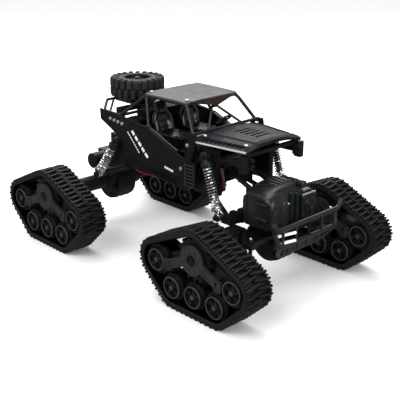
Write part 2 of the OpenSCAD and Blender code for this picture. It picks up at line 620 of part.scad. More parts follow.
// ---------- what is drawn ----------
front_right_frame();
front_right_belt();
front_right_sprocket();
front_right_idler_front();
front_right_idler_rear();
front_right_road_front();
front_right_road_mid();
front_right_road_rear();
front_left_frame();
front_left_belt();
front_left_sprocket();
front_left_idler_front();
front_left_idler_rear();
front_left_road_front();
front_left_road_mid();
front_left_road_rear();
rear_right_frame();
rear_right_belt();
rear_right_sprocket();
rear_right_idler_front();
rear_right_idler_rear();
rear_right_road_front();
rear_right_road_mid();
rear_right_road_rear();
rear_left_frame();
rear_left_belt();
rear_left_sprocket();
rear_left_idler_front();
rear_left_idler_rear();
rear_left_road_front();
rear_left_road_mid();
rear_left_road_rear();
chassis_frame();
side_panels();
roof_panel();
roll_cage();
hood_panel();
cabin_interior();
electronics_box();
spare_wheel();
body_screws();
front_lower_links();
front_upper_links();
front_truss();
front_shock_bodies();
front_shock_rods();
front_springs();
front_axle_housing();
front_gearbox();
front_bumper();
tie_rod();
knuckle_right();
knuckle_left();
rear_lower_links();
rear_upper_links();
rear_truss();
rear_shock_bodies();
rear_shock_rods();
rear_springs();
rear_axle_housing();
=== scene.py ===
"""Looks of the tracked rock crawler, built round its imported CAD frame.

Shapes are drawn in millimetres and turned into metres when a piece is made.
Front is +X, left is +Y, up is +Z, and the ground is z = 0, as in the CAD.
"""

import math

import bpy
from mathutils import Matrix, Vector


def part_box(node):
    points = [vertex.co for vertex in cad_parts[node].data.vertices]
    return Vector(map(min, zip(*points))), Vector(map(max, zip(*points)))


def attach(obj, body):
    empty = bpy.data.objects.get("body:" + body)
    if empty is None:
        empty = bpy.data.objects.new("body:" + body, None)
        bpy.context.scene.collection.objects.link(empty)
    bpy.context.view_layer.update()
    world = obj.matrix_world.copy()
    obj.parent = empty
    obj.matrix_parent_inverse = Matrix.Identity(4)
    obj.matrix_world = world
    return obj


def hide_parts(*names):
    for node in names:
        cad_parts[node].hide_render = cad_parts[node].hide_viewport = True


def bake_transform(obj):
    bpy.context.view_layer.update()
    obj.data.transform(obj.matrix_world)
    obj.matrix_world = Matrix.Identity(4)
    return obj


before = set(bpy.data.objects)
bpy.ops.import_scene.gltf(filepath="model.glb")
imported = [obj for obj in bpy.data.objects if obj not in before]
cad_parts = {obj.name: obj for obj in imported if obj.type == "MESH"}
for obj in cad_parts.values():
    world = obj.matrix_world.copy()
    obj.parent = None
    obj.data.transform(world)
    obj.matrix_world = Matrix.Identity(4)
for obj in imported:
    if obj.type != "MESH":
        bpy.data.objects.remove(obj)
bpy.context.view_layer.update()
MM = 0.001
UNITS = ["front_right", "front_left", "rear_right", "rear_left"]


# ---------- sizes read from the frame ----------

def low(node):
    """Lowest corner of a CAD node, in millimetres."""
    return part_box(node)[0] / MM


def high(node):
    """Highest corner of a CAD node, in millimetres."""
    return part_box(node)[1] / MM


def centre(node):
    return (low(node) + high(node)) / 2


HUB = centre("front_right_sprocket")
HUB_Z = HUB.z
AXLE_X = HUB.x
IDLER = centre("front_right_idler_front")
ROAD = centre("front_right_road_front")
BELT_LOW, BELT_HIGH = low("front_right_belt"), high("front_right_belt")
BELT_HALF = (BELT_HIGH.y - BELT_LOW.y) / 2
TRACK_Y = -(BELT_HIGH.y + BELT_LOW.y) / 2
LUG = 2.6            # height of a tread lug
BAND = 3.1           # thickness of the belt's band
LUGS = 54            # lugs in one row round a belt
IDLER_X, IDLER_Z = IDLER.x - AXLE_X, IDLER.z
ROAD_X, ROAD_Z = ROAD.x - AXLE_X, ROAD.z
ROAD_DRUM = (high("front_right_road_front") - low("front_right_road_front")).x / 2
IDLER_DRUM = (high("front_right_idler_front") - low("front_right_idler_front")).x / 2
WHEEL_FACE = (high("front_right_road_front") - low("front_right_road_front")).y / 2
ROOF_Z = high("roof_panel").z
SIDE_Y = 42.0        # outer face of the side panels
SHOCK_Y = -41.0      # middle of the right-hand shocks
SHARP_ANGLE = 35     # edges that turn by more than this many degrees are drawn sharp
BEVEL_ANGLE = 30     # edges that turn by more than this many degrees are rounded off
WIRE_RADIUS = 0.65
BUMPER_X = high("front_bumper").x - 3.9      # line of the bumper's front tubes
LAMP_HEIGHTS = (58.8, 65.4)
GEARBOX_FOOT = 62.2  # underside of the front gearbox


# ---------- shapes ----------

class Shape:
    """Closed surfaces gathered into one mesh, in millimetres."""

    def __init__(self):
        self.points = []
        self.faces = []

    def add(self, form, place=None):
        """Adds (points, faces), moved by a matrix. A mirroring matrix turns the faces round."""
        points, faces = form
        first = len(self.points)
        if place is None:
            self.points += [Vector(p) for p in points]
            flip = False
        else:
            self.points += [place @ Vector(p) for p in points]
            flip = place.determinant() < 0
        for face in faces:
            ids = [first + i for i in face]
            self.faces.append(ids[::-1] if flip else ids)
        return self

    def join(self, other, place=None):
        return self.add((other.points, other.faces), place)


def block(a, b):
    """Box between two corners."""
    xs, ys, zs = zip(a, b)
    points = [(x, y, z) for x in xs for y in ys for z in zs]
    faces = [(0, 1, 3, 2), (4, 6, 7, 5), (0, 4, 5, 1), (2, 3, 7, 6), (0, 2, 6, 4), (1, 5, 7, 3)]
    return points, faces


def loft(rings, closed=False):
    """Skin over rings that have the same number of points, each turning the same way."""
    count = len(rings[0])
    points = [p for ring in rings for p in ring]
    faces = []
    last = len(rings) if closed else len(rings) - 1
    for i in range(last):
        a, b = i * count, (i + 1) % len(rings) * count
        for j in range(count):
            k = (j + 1) % count
            faces.append((a + j, a + k, b + k, b + j))
    if not closed:
        faces.append(tuple(range(count))[::-1])
        faces.append(tuple(range(len(points) - count, len(points))))
    return points, faces


def circle(radius, height, sides):
    turn = 2 * math.pi / sides
    return [(radius * math.cos(i * turn), radius * math.sin(i * turn), height) for i in range(sides)]


def lathe(profile, sides=40, closed=False):
    """Turns (radius, height) points about Z. An open profile is capped flat at both ends."""
    return loft([circle(max(r, 0.01), h, sides) for r, h in profile], closed=closed)


def prism(outline, bottom, top):
    """Straight extrusion along Z of an outline that runs anticlockwise."""
    return loft([[(x, y, bottom) for x, y in outline], [(x, y, top) for x, y in outline]])


def slice_x(x, outline):
    """An outline of (y, z) points set up at x."""
    return [(x, y, z) for y, z in outline]


def bushing(bore, radius, half, chamfer, sides=28):
    """Ring about Z with chamfered outer edges, from -half to half."""
    edge = radius - chamfer
    return lathe([(bore, -half), (edge, -half), (radius, chamfer - half), (radius, half - chamfer),
                  (edge, half), (bore, half)], sides, closed=True)


def tube(path, radius, sides=12, closed=False, taper=None):
    """Round bar along a path. taper gives a radius at each point instead of one for all."""
    path = [Vector(p) for p in path]
    count = len(path)
    rings = []
    side = None
    for i, p in enumerate(path):
        if closed:
            ahead = path[(i + 1) % count] - path[i - 1]
        else:
            ahead = path[min(i + 1, count - 1)] - path[max(i - 1, 0)]
        ahead.normalize()
        if side is None:
            side = ahead.orthogonal().normalized()
        side = (side - ahead * side.dot(ahead)).normalized()
        up = ahead.cross(side)
        r = taper[i] if taper else radius
        turn = 2 * math.pi / sides
        rings.append([p + (side * math.cos(k * turn) + up * math.sin(k * turn)) * r for k in range(sides)])
    return loft(rings, closed=closed)


def bend(points, radius=4.0, steps=5):
    """Rounds the inner corners of a path."""
    points = [Vector(p) for p in points]
    out = [points[0]]
    for a, b, c in zip(points, points[1:], points[2:]):
        cut = min(radius, (a - b).length * 0.45, (c - b).length * 0.45)
        start = b + (a - b).normalized() * cut
        end = b + (c - b).normalized() * cut
        for i in range(steps + 1):
            t = i / steps
            out.append(start * (1 - t) ** 2 + b * (2 * t * (1 - t)) + end * t ** 2)
    return out + [points[-1]]


def strap(a, b, width, bottom, top, end_width=None):
    """Flat tapered bar from a to b in the XY plane, between two heights."""
    a, b = Vector(a), Vector(b)
    side = Vector((-(b - a).y, (b - a).x)).normalized()
    w0, w1 = width / 2, (end_width or width) / 2
    outline = [a - side * w0, b - side * w1, b + side * w1, a + side * w0]
    return prism([(p.x, p.y) for p in outline], bottom, top)


def surface_shell(top, rows, columns, thickness):
    """Closed sheet whose upper face is top(u, v) and whose lower face lies below it."""
    upper = [[Vector(top(i / rows, j / columns)) for j in range(columns + 1)] for i in range(rows + 1)]
    points = [p for row in upper for p in row]
    count = len(points)
    points += [p - Vector((0, 0, thickness)) for p in points]
    wide = columns + 1
    faces = []
    for i in range(rows):
        for j in range(columns):
            a, b, c, d = i * wide + j, (i + 1) * wide + j, (i + 1) * wide + j + 1, i * wide + j + 1
            faces.append((a, b, c, d))
            faces.append((a + count, d + count, c + count, b + count))
    rim = [i * wide for i in range(rows + 1)]
    rim += [rows * wide + j for j in range(1, wide)]
    rim += [i * wide + columns for i in range(rows - 1, -1, -1)]
    rim += [j for j in range(columns - 1, 0, -1)]
    for a, b in zip(rim, rim[1:] + rim[:1]):
        faces.append((b, a, a + count, b + count))
    return points, faces


def at(x=0.0, y=0.0, z=0.0):
    return Matrix.Translation((x, y, z))


def turned(degrees, axis):
    return Matrix.Rotation(math.radians(degrees), 4, axis)


FLIP_Y = Matrix.Scale(-1, 4, (0, 1, 0))
FLIP_X = Matrix.Scale(-1, 4, (1, 0, 0))
OUTWARD = turned(90, "X")        # drawn in XY and rising in Z becomes drawn in XZ and facing -Y


def both_sides(shape):
    """The right-hand shape and its mirror image on the left."""
    return Shape().join(shape).join(shape, FLIP_Y)


def both_faces(half):
    """The upper half of a wheel and the same half turned over."""
    return Shape().join(half).join(half, turned(180, "X"))


def rear(shape):
    """A front shape turned end for end."""
    return Shape().join(shape, FLIP_X)


def piece(name, shape, finish, body=None, replaces=(), bevel=0.0):
    """Makes a Blender object of a shape, gives it a finish from LOOKS and lets it ride on a body."""
    mesh = bpy.data.meshes.new(name)
    mesh.from_pydata([p * MM for p in shape.points], [], shape.faces)
    mesh.validate()
    mesh.shade_smooth()
    mesh.set_sharp_from_angle(angle=math.radians(SHARP_ANGLE))
    thing = bpy.data.objects.new(name, mesh)
    bpy.context.scene.collection.objects.link(thing)
    mesh.materials.append(LOOKS[finish])
    soften(thing, bevel)
    if body:
        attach(thing, body)
    if replaces:
        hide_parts(*replaces)
    return thing


def soften(thing, width):
    """Rounds the edges of a piece or a CAD node by a width in millimetres."""
    if width:
        edge = thing.modifiers.new("edge", "BEVEL")
        edge.width = width * MM
        edge.segments = 2
        edge.limit_method = "ANGLE"
        edge.angle_limit = math.radians(BEVEL_ANGLE)
        edge.harden_normals = True
        edge.use_clamp_overlap = True


def screw_head(radius=1.8, height=1.2):
    """Pan head that rises from z = 0, with a cross recess."""
    shape = Shape()
    shape.add(lathe([(radius * r, z) for r, z in [
        (0.6, -1.5), (1, -0.1), (1, height * 0.35), (0.86, height * 0.8), (0.6, height), (0.52, height),
        (0.4, height * 0.45), (0, height * 0.4)]], 20))
    bar = block((-radius * 0.5, -radius * 0.09, height * 0.3), (radius * 0.5, radius * 0.09, height * 0.62))
    for turn in (0, 90):
        shape.add(bar, turned(turn, "Z"))
    return shape


# ---------- materials ----------

def look(name, colour, rough, metal=0.0, tone=0.25, grain=0.12, grain_size=0.35, edge_wear_and_highlight=0.25, worn_and_highlight_colour=None,
         scratches=0.0, coat=0.0, specular=0.2, dust=0.0):
    """Procedural finish: mottled tone, moulded grain, pale edges, fine scratches and settled dust. The pale
    edges are scuffing; on the wheels and track frames they are made strong as a painted highlight along the
    edges.

    grain_size is in millimetres; tone, the edge scuff and painted edge highlight strength, scratches and dust
    run from 0 to 1.
    """
    material = bpy.data.materials.new(name)
    material.use_nodes = True
    tree = material.node_tree
    tree.nodes.clear()

    def node(kind, **values):
        made = tree.nodes.new(kind)
        for key, value in values.items():
            setattr(made, key, value)
        return made

    def link(a, b):
        tree.links.new(a, b)

    def noise(scale, detail=3.0, stretch=None):
        made = node("ShaderNodeTexNoise")
        made.inputs["Scale"].default_value = scale
        made.inputs["Detail"].default_value = detail
        source = place.outputs["Object"]
        if stretch:
            mapping = node("ShaderNodeMapping")
            mapping.inputs["Scale"].default_value = stretch
            mapping.inputs["Rotation"].default_value = (0.3, 0.2, 0.5)
            link(source, mapping.inputs["Vector"])
            source = mapping.outputs["Vector"]
        link(source, made.inputs["Vector"])
        return made.outputs["Fac"]

    def ramp(value, start, end, low_to, high_to):
        made = node("ShaderNodeMapRange")
        made.inputs["From Min"].default_value = start
        made.inputs["From Max"].default_value = end
        made.inputs["To Min"].default_value = low_to
        made.inputs["To Max"].default_value = high_to
        link(value, made.inputs["Value"])
        return made.outputs["Result"]

    def math_node(operation, a, b):
        made = node("ShaderNodeMath", operation=operation)
        for socket, value in zip(made.inputs, (a, b)):
            if isinstance(value, (int, float)):
                socket.default_value = value
            else:
                link(value, socket)
        return made.outputs["Value"]

    def mix(fac, a, b):
        made = node("ShaderNodeMix", data_type="RGBA")
        link(fac, made.inputs[0])
        for socket, value in ((made.inputs[6], a), (made.inputs[7], b)):
            if isinstance(value, tuple):
                socket.default_value = (*value, 1.0)
            else:
                link(value, socket)
        return made.outputs[2]

    place = node("ShaderNodeTexCoord")
    shader = node("ShaderNodeBsdfPrincipled")
    shader.inputs["Metallic"].default_value = metal
    shader.inputs["Coat Weight"].default_value = coat
    shader.inputs["Coat Roughness"].default_value = 0.12
    shader.inputs["Specular IOR Level"].default_value = specular

    dark = tuple(c * (1 - tone) for c in colour)
    light = tuple(min(1.0, c * (1 + tone)) for c in colour)
    tint = mix(ramp(noise(90, 4.0), 0.3, 0.7, 0.0, 1.0), dark, light)
    roughness = ramp(noise(260, 3.0), 0.25, 0.75, max(rough - 0.07, 0.03), min(rough + 0.09, 1.0))

    # pale edges from the Bevel node: scuffing, and where it is strong (wheels, track frames) a painted
    # highlight on the edges
    if edge_wear_and_highlight:
        worn_and_highlight_colour = worn_and_highlight_colour or tuple(min(1.0, c * 2.4 + 0.022) for c in colour)
        rounded = node("ShaderNodeBevel", samples=4)
        rounded.inputs["Radius"].default_value = 0.5 * MM
        true = node("ShaderNodeNewGeometry")
        dot = node("ShaderNodeVectorMath", operation="DOT_PRODUCT")
        link(rounded.outputs["Normal"], dot.inputs[0])
        link(true.outputs["True Normal"], dot.inputs[1])
        edge = ramp(dot.outputs["Value"], 0.97, 0.75, 0.0, 1.0)
        patchy = ramp(noise(420, 5.0), 0.42, 0.62, 0.0, edge_wear_and_highlight)
        scuff_and_highlight_mask = math_node("MULTIPLY", edge, patchy)
        tint = mix(scuff_and_highlight_mask, tint, worn_and_highlight_colour)
    if scratches:
        lines = ramp(noise(900, 2.0, stretch=(1.0, 0.05, 0.4)), 0.66, 0.72, 0.0, scratches)
        tint = mix(lines, tint, tuple(min(1.0, c * 2.0 + 0.05) for c in colour))
    if dust:
        up = node("ShaderNodeSeparateXYZ")
        facing = node("ShaderNodeNewGeometry")
        link(facing.outputs["Normal"], up.inputs["Vector"])
        upward = ramp(up.outputs["Z"], 0.2, 1.0, 0.0, dust)
        settled = math_node("MULTIPLY", upward, ramp(noise(150, 5.0), 0.35, 0.7, 0.2, 1.0))
        tint = mix(settled, tint, (0.30, 0.29, 0.27))
    link(tint, shader.inputs["Base Color"])
    link(roughness, shader.inputs["Roughness"])

    if grain:
        bump = node("ShaderNodeBump")
        bump.inputs["Strength"].default_value = grain
        bump.inputs["Distance"].default_value = 0.15 * MM
        link(noise(1 / (grain_size * MM), 4.0), bump.inputs["Height"])
        link(bump.outputs["Normal"], shader.inputs["Normal"])

    output = node("ShaderNodeOutputMaterial")
    link(shader.outputs["BSDF"], output.inputs["Surface"])
    return material


BLACK = (0.0065, 0.0065, 0.0070)       # moulded black plastic
SOOT = (0.0045, 0.0045, 0.0048)        # the darkest mouldings
GREY = (0.017, 0.017, 0.018)           # the greyer track frames

LOOKS = {
    "rubber": look("tread_rubber", (0.0052, 0.0052, 0.0054), 0.52, grain=0.35, grain_size=0.5, edge_wear_and_highlight=0.32,
                   specular=0.25, dust=0.025),
    # track frames: strong pale edges, partly scuffing and partly a painted highlight along the plate edges
    "track_frame": look("track_frame_plastic", GREY, 0.42, grain=0.2, edge_wear_and_highlight=0.9,
                        worn_and_highlight_colour=(0.060, 0.060, 0.062), specular=0.2),
    # wheels: full-strength pale edges, a painted highlight on every rim and spoke edge in place of light
    # catching them
    "wheel": look("wheel_plastic", (0.0055, 0.0055, 0.0058), 0.42, grain=0.2, edge_wear_and_highlight=1.0,
                  worn_and_highlight_colour=(0.095, 0.095, 0.098), specular=0.12),
    # wheel rim beads: the paler colour is a painted highlight, the light ring on each rim
    "rim": look("wheel_rim_painted_highlight", (0.027, 0.027, 0.028), 0.36, grain=0.15, edge_wear_and_highlight=0.3, specular=0.4),
    # near-black, nearly unreflecting layer on the inside of the belts: painted shade
    "shade_lining": look("belt_lining_painted_shade", (0.0012, 0.0012, 0.0012), 0.75, grain=0.2, edge_wear_and_highlight=0.0, specular=0.02),
    "sprocket": look("sprocket_plastic", SOOT, 0.45, grain=0.2, edge_wear_and_highlight=0.3),
    "chassis": look("chassis_plastic", SOOT, 0.45, grain=0.3, edge_wear_and_highlight=0.3),
    "panel": look("side_panel_paint", (0.0042, 0.0042, 0.0046), 0.34, grain=0.12, grain_size=0.2, edge_wear_and_highlight=0.4,
                  scratches=0.15, specular=0.13),
    "roof": look("roof_satin_paint", (0.064, 0.063, 0.067), 0.42, tone=0.2, grain=0.15, grain_size=0.2,
                 edge_wear_and_highlight=0.3, scratches=0.2, specular=0.14),
    "visor": look("visor_tint", (0.016, 0.0105, 0.0085), 0.34, grain=0.1, edge_wear_and_highlight=0.2, specular=0.12),
    "trim": look("edge_trim", (0.34, 0.34, 0.35), 0.34, tone=0.1, grain=0.1, grain_size=0.2, edge_wear_and_highlight=0.3,
                 worn_and_highlight_colour=(0.5, 0.5, 0.5), scratches=0.2, specular=0.4),
    "hood": look("hood_satin_paint", (0.0078, 0.0073, 0.0100), 0.42, tone=0.2, grain=0.12,
                 grain_size=0.2, edge_wear_and_highlight=0.4, scratches=0.25, specular=0.09),
    "cage": look("cage_plastic", BLACK, 0.30, grain=0.15, edge_wear_and_highlight=0.35, specular=0.5),
    "seat": look("seat_gloss_plastic", SOOT, 0.16, grain=0.08, edge_wear_and_highlight=0.15, coat=0.5, specular=0.4),
    "box": look("box_plastic", SOOT, 0.5, grain=0.3, edge_wear_and_highlight=0.25),
    "tyre": look("spare_tyre_rubber", (0.017, 0.017, 0.0175), 0.55, grain=0.35, grain_size=0.5, edge_wear_and_highlight=0.5,
                 specular=0.2, dust=0.01),
    "screw": look("screw_zinc", (0.72, 0.72, 0.73), 0.28, metal=1.0, tone=0.1, grain=0.1, grain_size=0.12,
                  edge_wear_and_highlight=0.0, scratches=0.2),
    "link": look("link_plastic", BLACK, 0.40, grain=0.2, edge_wear_and_highlight=0.35, specular=0.3),
    "shock": look("shock_body_plastic", BLACK, 0.32, grain=0.15, edge_wear_and_highlight=0.3, specular=0.35),
    "rod": look("shock_rod_steel", (0.60, 0.60, 0.61), 0.22, metal=1.0, tone=0.08, grain=0.08, grain_size=0.1,
                edge_wear_and_highlight=0.0, scratches=0.2),
    "spring": look("spring_chrome", (0.80, 0.81, 0.83), 0.14, metal=1.0, tone=0.08, grain=0.06,
                   grain_size=0.1, edge_wear_and_highlight=0.0, scratches=0.1),
    "axle": look("axle_plastic", SOOT, 0.42, grain=0.25, edge_wear_and_highlight=0.3),
    "gearbox": look("gearbox_plastic", (0.0090, 0.0087, 0.0110), 0.30, grain=0.2, edge_wear_and_highlight=0.45, specular=0.45),
    "column": look("column_plastic", (0.0050, 0.0088, 0.0085), 0.34, grain=0.2, edge_wear_and_highlight=0.3, specular=0.35),
    "bumper": look("bumper_plastic", (0.0110, 0.0110, 0.0115), 0.36, grain=0.2, edge_wear_and_highlight=0.4, specular=0.4),
    "knuckle": look("knuckle_plastic", BLACK, 0.42, grain=0.2, edge_wear_and_highlight=0.3, specular=0.3),
    "lamp": look("lamp_white", (0.85, 0.86, 0.88), 0.25, tone=0.04, grain=0.08, grain_size=0.2, edge_wear_and_highlight=0.1,
                 worn_and_highlight_colour=(0.6, 0.6, 0.6), coat=0.4),
    "decal": look("decal_white", (0.60, 0.60, 0.61), 0.42, tone=0.08, grain=0.06, grain_size=0.2, edge_wear_and_highlight=0.4,
                  worn_and_highlight_colour=(0.2, 0.2, 0.2), scratches=0.2),
    "wire_red": look("wire_red", (0.17, 0.008, 0.012), 0.42, tone=0.12, grain=0.06, edge_wear_and_highlight=0.1,
                     worn_and_highlight_colour=(0.3, 0.05, 0.05)),
    "wire_green": look("wire_green", (0.008, 0.055, 0.030), 0.42, tone=0.12, grain=0.06, edge_wear_and_highlight=0.1,
                       worn_and_highlight_colour=(0.05, 0.12, 0.07)),
    "wire_black": look("wire_black", SOOT, 0.40, grain=0.06, edge_wear_and_highlight=0.1),
}

# The look of each CAD node that stays on show, and the width of its softened edges
KEPT_NODES = {
    "chassis_frame": ("chassis", 0.35),
    "front_truss": ("link", 0.3), "rear_truss": ("link", 0.3),
    "front_axle_housing": ("axle", 0.4), "rear_axle_housing": ("axle", 0.4),
    "tie_rod": ("link", 0.25), "knuckle_right": ("knuckle", 0.3), "knuckle_left": ("knuckle", 0.3),
    "front_lower_links": ("link", 0.2), "front_upper_links": ("link", 0.2),
    "rear_lower_links": ("link", 0.2), "rear_upper_links": ("link", 0.2),
}


def dress_cad_nodes():
    """Gives every CAD node its procedural look, whether or not a detailed piece stands for it."""
    for name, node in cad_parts.items():
        finish, edge = KEPT_NODES.get(name, ("chassis", 0))
        node.data.materials.clear()
        node.data.materials.append(LOOKS[finish])
        for polygon in node.data.polygons:
            polygon.material_index = 0
        soften(node, edge)


# ---------- stage ----------

CAMERA_AZIMUTH, CAMERA_ELEVATION = 46.19, 20.17
CAMERA_DISTANCE = 649.8
CAMERA_TARGET = Vector((67.25, -49.57, 79.75))
CAMERA_LENS = 72.2
ROOM_LIGHT, ROOM_REFLECTED = 1.0, 0.30


def make_camera():
    data = bpy.data.cameras.new("camera")
    data.sensor_width = 36.0
    data.lens = CAMERA_LENS
    data.clip_start, data.clip_end = 0.02, 20.0
    camera = bpy.data.objects.new("camera", data)
    bpy.context.scene.collection.objects.link(camera)
    a, e = math.radians(CAMERA_AZIMUTH), math.radians(CAMERA_ELEVATION)
    back = Vector((math.sin(a) * math.cos(e), -math.cos(a) * math.cos(e), math.sin(e)))
    camera.location = (CAMERA_TARGET + back * CAMERA_DISTANCE) * MM
    camera.rotation_mode = "QUATERNION"
    camera.rotation_quaternion = (-back).to_track_quat("-Z", "Y")
    bpy.context.scene.camera = camera


def area_light(name, place, aim, size, watts):
    data = bpy.data.lights.new(name, "AREA")
    data.shape = "RECTANGLE"
    data.size, data.size_y = size
    data.energy = watts
    light = bpy.data.objects.new(name, data)
    bpy.context.scene.collection.objects.link(light)
    light.location = place
    light.rotation_mode = "QUATERNION"
    light.rotation_quaternion = (Vector(aim) - Vector(place)).to_track_quat("-Z", "Y")


def make_stage():
    """Pale floor, white surroundings and four soft lights."""
    mesh = bpy.data.meshes.new("floor")
    half = 6.0
    corners = [(-half, -half, 0), (half, -half, 0), (half, half, 0), (-half, half, 0)]
    mesh.from_pydata(corners, [], [(0, 1, 2, 3)])
    floor = bpy.data.objects.new("floor", mesh)
    bpy.context.scene.collection.objects.link(floor)
    mesh.materials.append(look("floor_paper", (0.92, 0.92, 0.92), 0.85, tone=0.01, grain=0.05, grain_size=2.0,
                               edge_wear_and_highlight=0.0))
    floor.visible_glossy = False
    world = bpy.data.worlds.new("world")
    world.use_nodes = True
    background = world.node_tree.nodes["Background"]
    background.inputs["Color"].default_value = (1.0, 1.0, 1.0, 1.0)
    # dark flags round the set: reflections see a dimmer room than the paper does
    rays = world.node_tree.nodes.new("ShaderNodeLightPath")
    dimmer = world.node_tree.nodes.new("ShaderNodeMapRange")
    dimmer.inputs["To Min"].default_value = ROOM_LIGHT
    dimmer.inputs["To Max"].default_value = ROOM_REFLECTED
    world.node_tree.links.new(rays.outputs["Is Glossy Ray"], dimmer.inputs["Value"])
    world.node_tree.links.new(dimmer.outputs["Result"], background.inputs["Strength"])
    bpy.context.scene.world = world
    area_light("key", (0.15, -0.9, 1.1), (0, 0, 0.08), (0.9, 0.6), 9)
    area_light("top", (-0.25, 0.2, 1.3), (0, 0, 0.1), (1.0, 0.8), 9)
    area_light("back", (-0.85, 0.8, 0.8), (0, 0, 0.08), (1.1, 0.5), 8)
    area_light("front", (1.2, -0.1, 0.55), (0.05, 0, 0.06), (0.7, 0.5), 4)
    scene = bpy.context.scene
    scene.view_settings.view_transform = "Standard"


# ---------- track units ----------

def belt_wraps():
    """The five wheels that the belt goes round, as (x, z, radius of the band's outer face)."""
    top = BELT_HIGH.z - HUB_Z - LUG
    end = BELT_HIGH.x - AXLE_X - IDLER_X - LUG
    road = ROAD_Z - BELT_LOW.z - LUG
    return [(-ROAD_X, ROAD_Z, road), (ROAD_X, ROAD_Z, road), (IDLER_X, IDLER_Z, end), (0.0, HUB_Z, top),
            (-IDLER_X, IDLER_Z, end)]


class BeltPath:
    """Distance along the belt to a point and its outward direction, in the plane of the unit."""

    def __init__(self, wraps):
        self.parts = []
        count = len(wraps)
        angles = []
        for i, (x, z, r) in enumerate(wraps):
            x2, z2, r2 = wraps[(i + 1) % count]
            dx, dz = x2 - x, z2 - z
            angles.append(math.atan2(dz, dx) - math.acos((r - r2) / math.hypot(dx, dz)))
        for i, (x, z, r) in enumerate(wraps):
            x2, z2, r2 = wraps[(i + 1) % count]
            sweep = (angles[i] - angles[i - 1]) % (2 * math.pi)
            run = math.sqrt((x2 - x) ** 2 + (z2 - z) ** 2 - (r - r2) ** 2)
            self.parts.append((x, z, r, angles[i - 1], sweep, run))
        self.length = sum(r * sweep + run for _, _, r, _, sweep, run in self.parts)

    def point(self, s, out, across):
        """Point at distance s, out from the band's outer face, across the unit."""
        s %= self.length
        for x, z, r, start, sweep, run in self.parts:
            if s <= r * sweep + run:
                break
            s -= r * sweep + run
        along = max(0.0, s - r * sweep)
        t = start + min(s / r, sweep)
        return (x + (r + out) * math.cos(t) - along * math.sin(t),
                z + (r + out) * math.sin(t) + along * math.cos(t), across)


def belt_band(path, section):
    """A section of (out, across) points swept once round the belt."""
    steps = LUGS * 4
    return loft([[path.point(i * path.length / steps, out, across) for out, across in section]
                 for i in range(steps)], closed=True)


def belt_shape():
    """Rubber belt: band with a rolled lip at each edge, two staggered rows of slanted lugs, guide horns."""
    path = BeltPath(belt_wraps())
    shape = Shape()
    w = BELT_HALF
    shape.add(belt_band(path, [
        (-BAND, -w + 0.5), (-BAND + 0.5, -w), (-0.5, -w), (0.0, -w + 0.5), (0.0, -w + 1.6), (-0.5, -w + 2.1),
        (-0.5, w - 2.1), (0.0, w - 1.6), (0.0, w - 0.5), (-0.5, w), (-BAND + 0.5, w), (-BAND, w - 0.5),
        (-BAND, w - 2.0), (-BAND + 0.6, w - 2.4), (-BAND + 0.6, -w + 2.4), (-BAND, -w + 2.0)]))
    pitch = path.length / LUGS
    for k in range(LUGS):
        for side in (-1, 1):
            shift = (k + (0.5 if side > 0 else 0.0)) * pitch
            shape.add(lug_form(path, shift, side))
            shape.add(knob_form(path, shift + pitch / 2, side))
        shape.add(horn_form(path, k * pitch))
    return shape


def belt_shade_lining_shape():
    """Thin near-black layer on the inside of the belt: painted shade, a dark sheet that keeps the inside of
    the belt as dark as shade.
    """
    path = BeltPath(belt_wraps())
    w, skin, deep = BELT_HALF, -BAND - 0.04, -BAND + 0.56
    return Shape().add(belt_band(path, [
        (skin, -w + 0.6), (-BAND + 1.0, -w + 0.6), (-BAND + 1.0, w - 0.6), (skin, w - 0.6), (skin, w - 2.0),
        (deep, w - 2.4), (deep, -w + 2.4), (skin, -w + 2.0)]))


def tread_form(path, s, side, stations, cut):
    """Tread block across one side of the belt. cut gives its outline from a half width and a height."""
    points, faces = loft([
        [path.point(s + slant + along, out, across * side) for along, out in cut(half, tall)]
        for across, slant, half, tall in stations])
    return points, faces if side < 0 else [f[::-1] for f in faces]


def lug_form(path, s, side):
    """One tread bar from the edge to just past the middle, slanted and stepped."""
    w = BELT_HALF
    stations = [(w - 0.12, 0.0, 0.95, LUG * 0.93), (w - 0.7, 0.05, 1.05, LUG), (w - 5.0, 0.35, 1.15, LUG),
                (w - 6.2, 0.75, 1.15, LUG * 0.94), (3.2, 1.15, 1.10, LUG * 0.94), (1.2, 1.65, 1.0, LUG),
                (-1.9, 1.9, 0.9, LUG), (-2.4, 1.9, 0.75, LUG * 0.6)]

    def cut(half, tall):
        return [(-half * 1.3, -0.8), (half * 1.3, -0.8), (half * 1.15, 0.1), (half * 0.8, tall - 0.25),
                (half * 0.6, tall), (-half * 0.6, tall), (-half * 0.8, tall - 0.25), (-half * 1.15, 0.1)]

    return tread_form(path, s, side, stations, cut)


def knob_form(path, s, side):
    """Short block on the shoulder between two bars."""
    w = BELT_HALF
    stations = [(w - 0.1, 0, 0.6, LUG * 0.35), (w - 0.8, 0, 0.85, LUG * 0.8), (w - 2.8, 0, 0.85, LUG * 0.8),
                (w - 3.4, 0, 0.7, LUG * 0.4)]

    def cut(half, tall):
        return [(-half * 1.2, -0.8), (half * 1.2, -0.8), (half, tall - 0.2), (half * 0.7, tall),
                (-half * 0.7, tall), (-half, tall - 0.2)]

    return tread_form(path, s, side, stations, cut)


def horn_form(path, s):
    """Guide horn on the inside, which runs in the gap between the wheel drums."""
    rings = []
    stations = [(-BAND + 0.8, 1.5, 3.0), (-BAND - 1.0, 1.2, 2.6), (-BAND - 2.2, 0.6, 1.8)]
    for out, half_along, half_across in stations:
        rings.append([path.point(s + a * half_along, out, b * half_across)
                      for a, b in [(-1, -1), (-1, 1), (1, 1), (1, -1)]])
    return loft(rings)


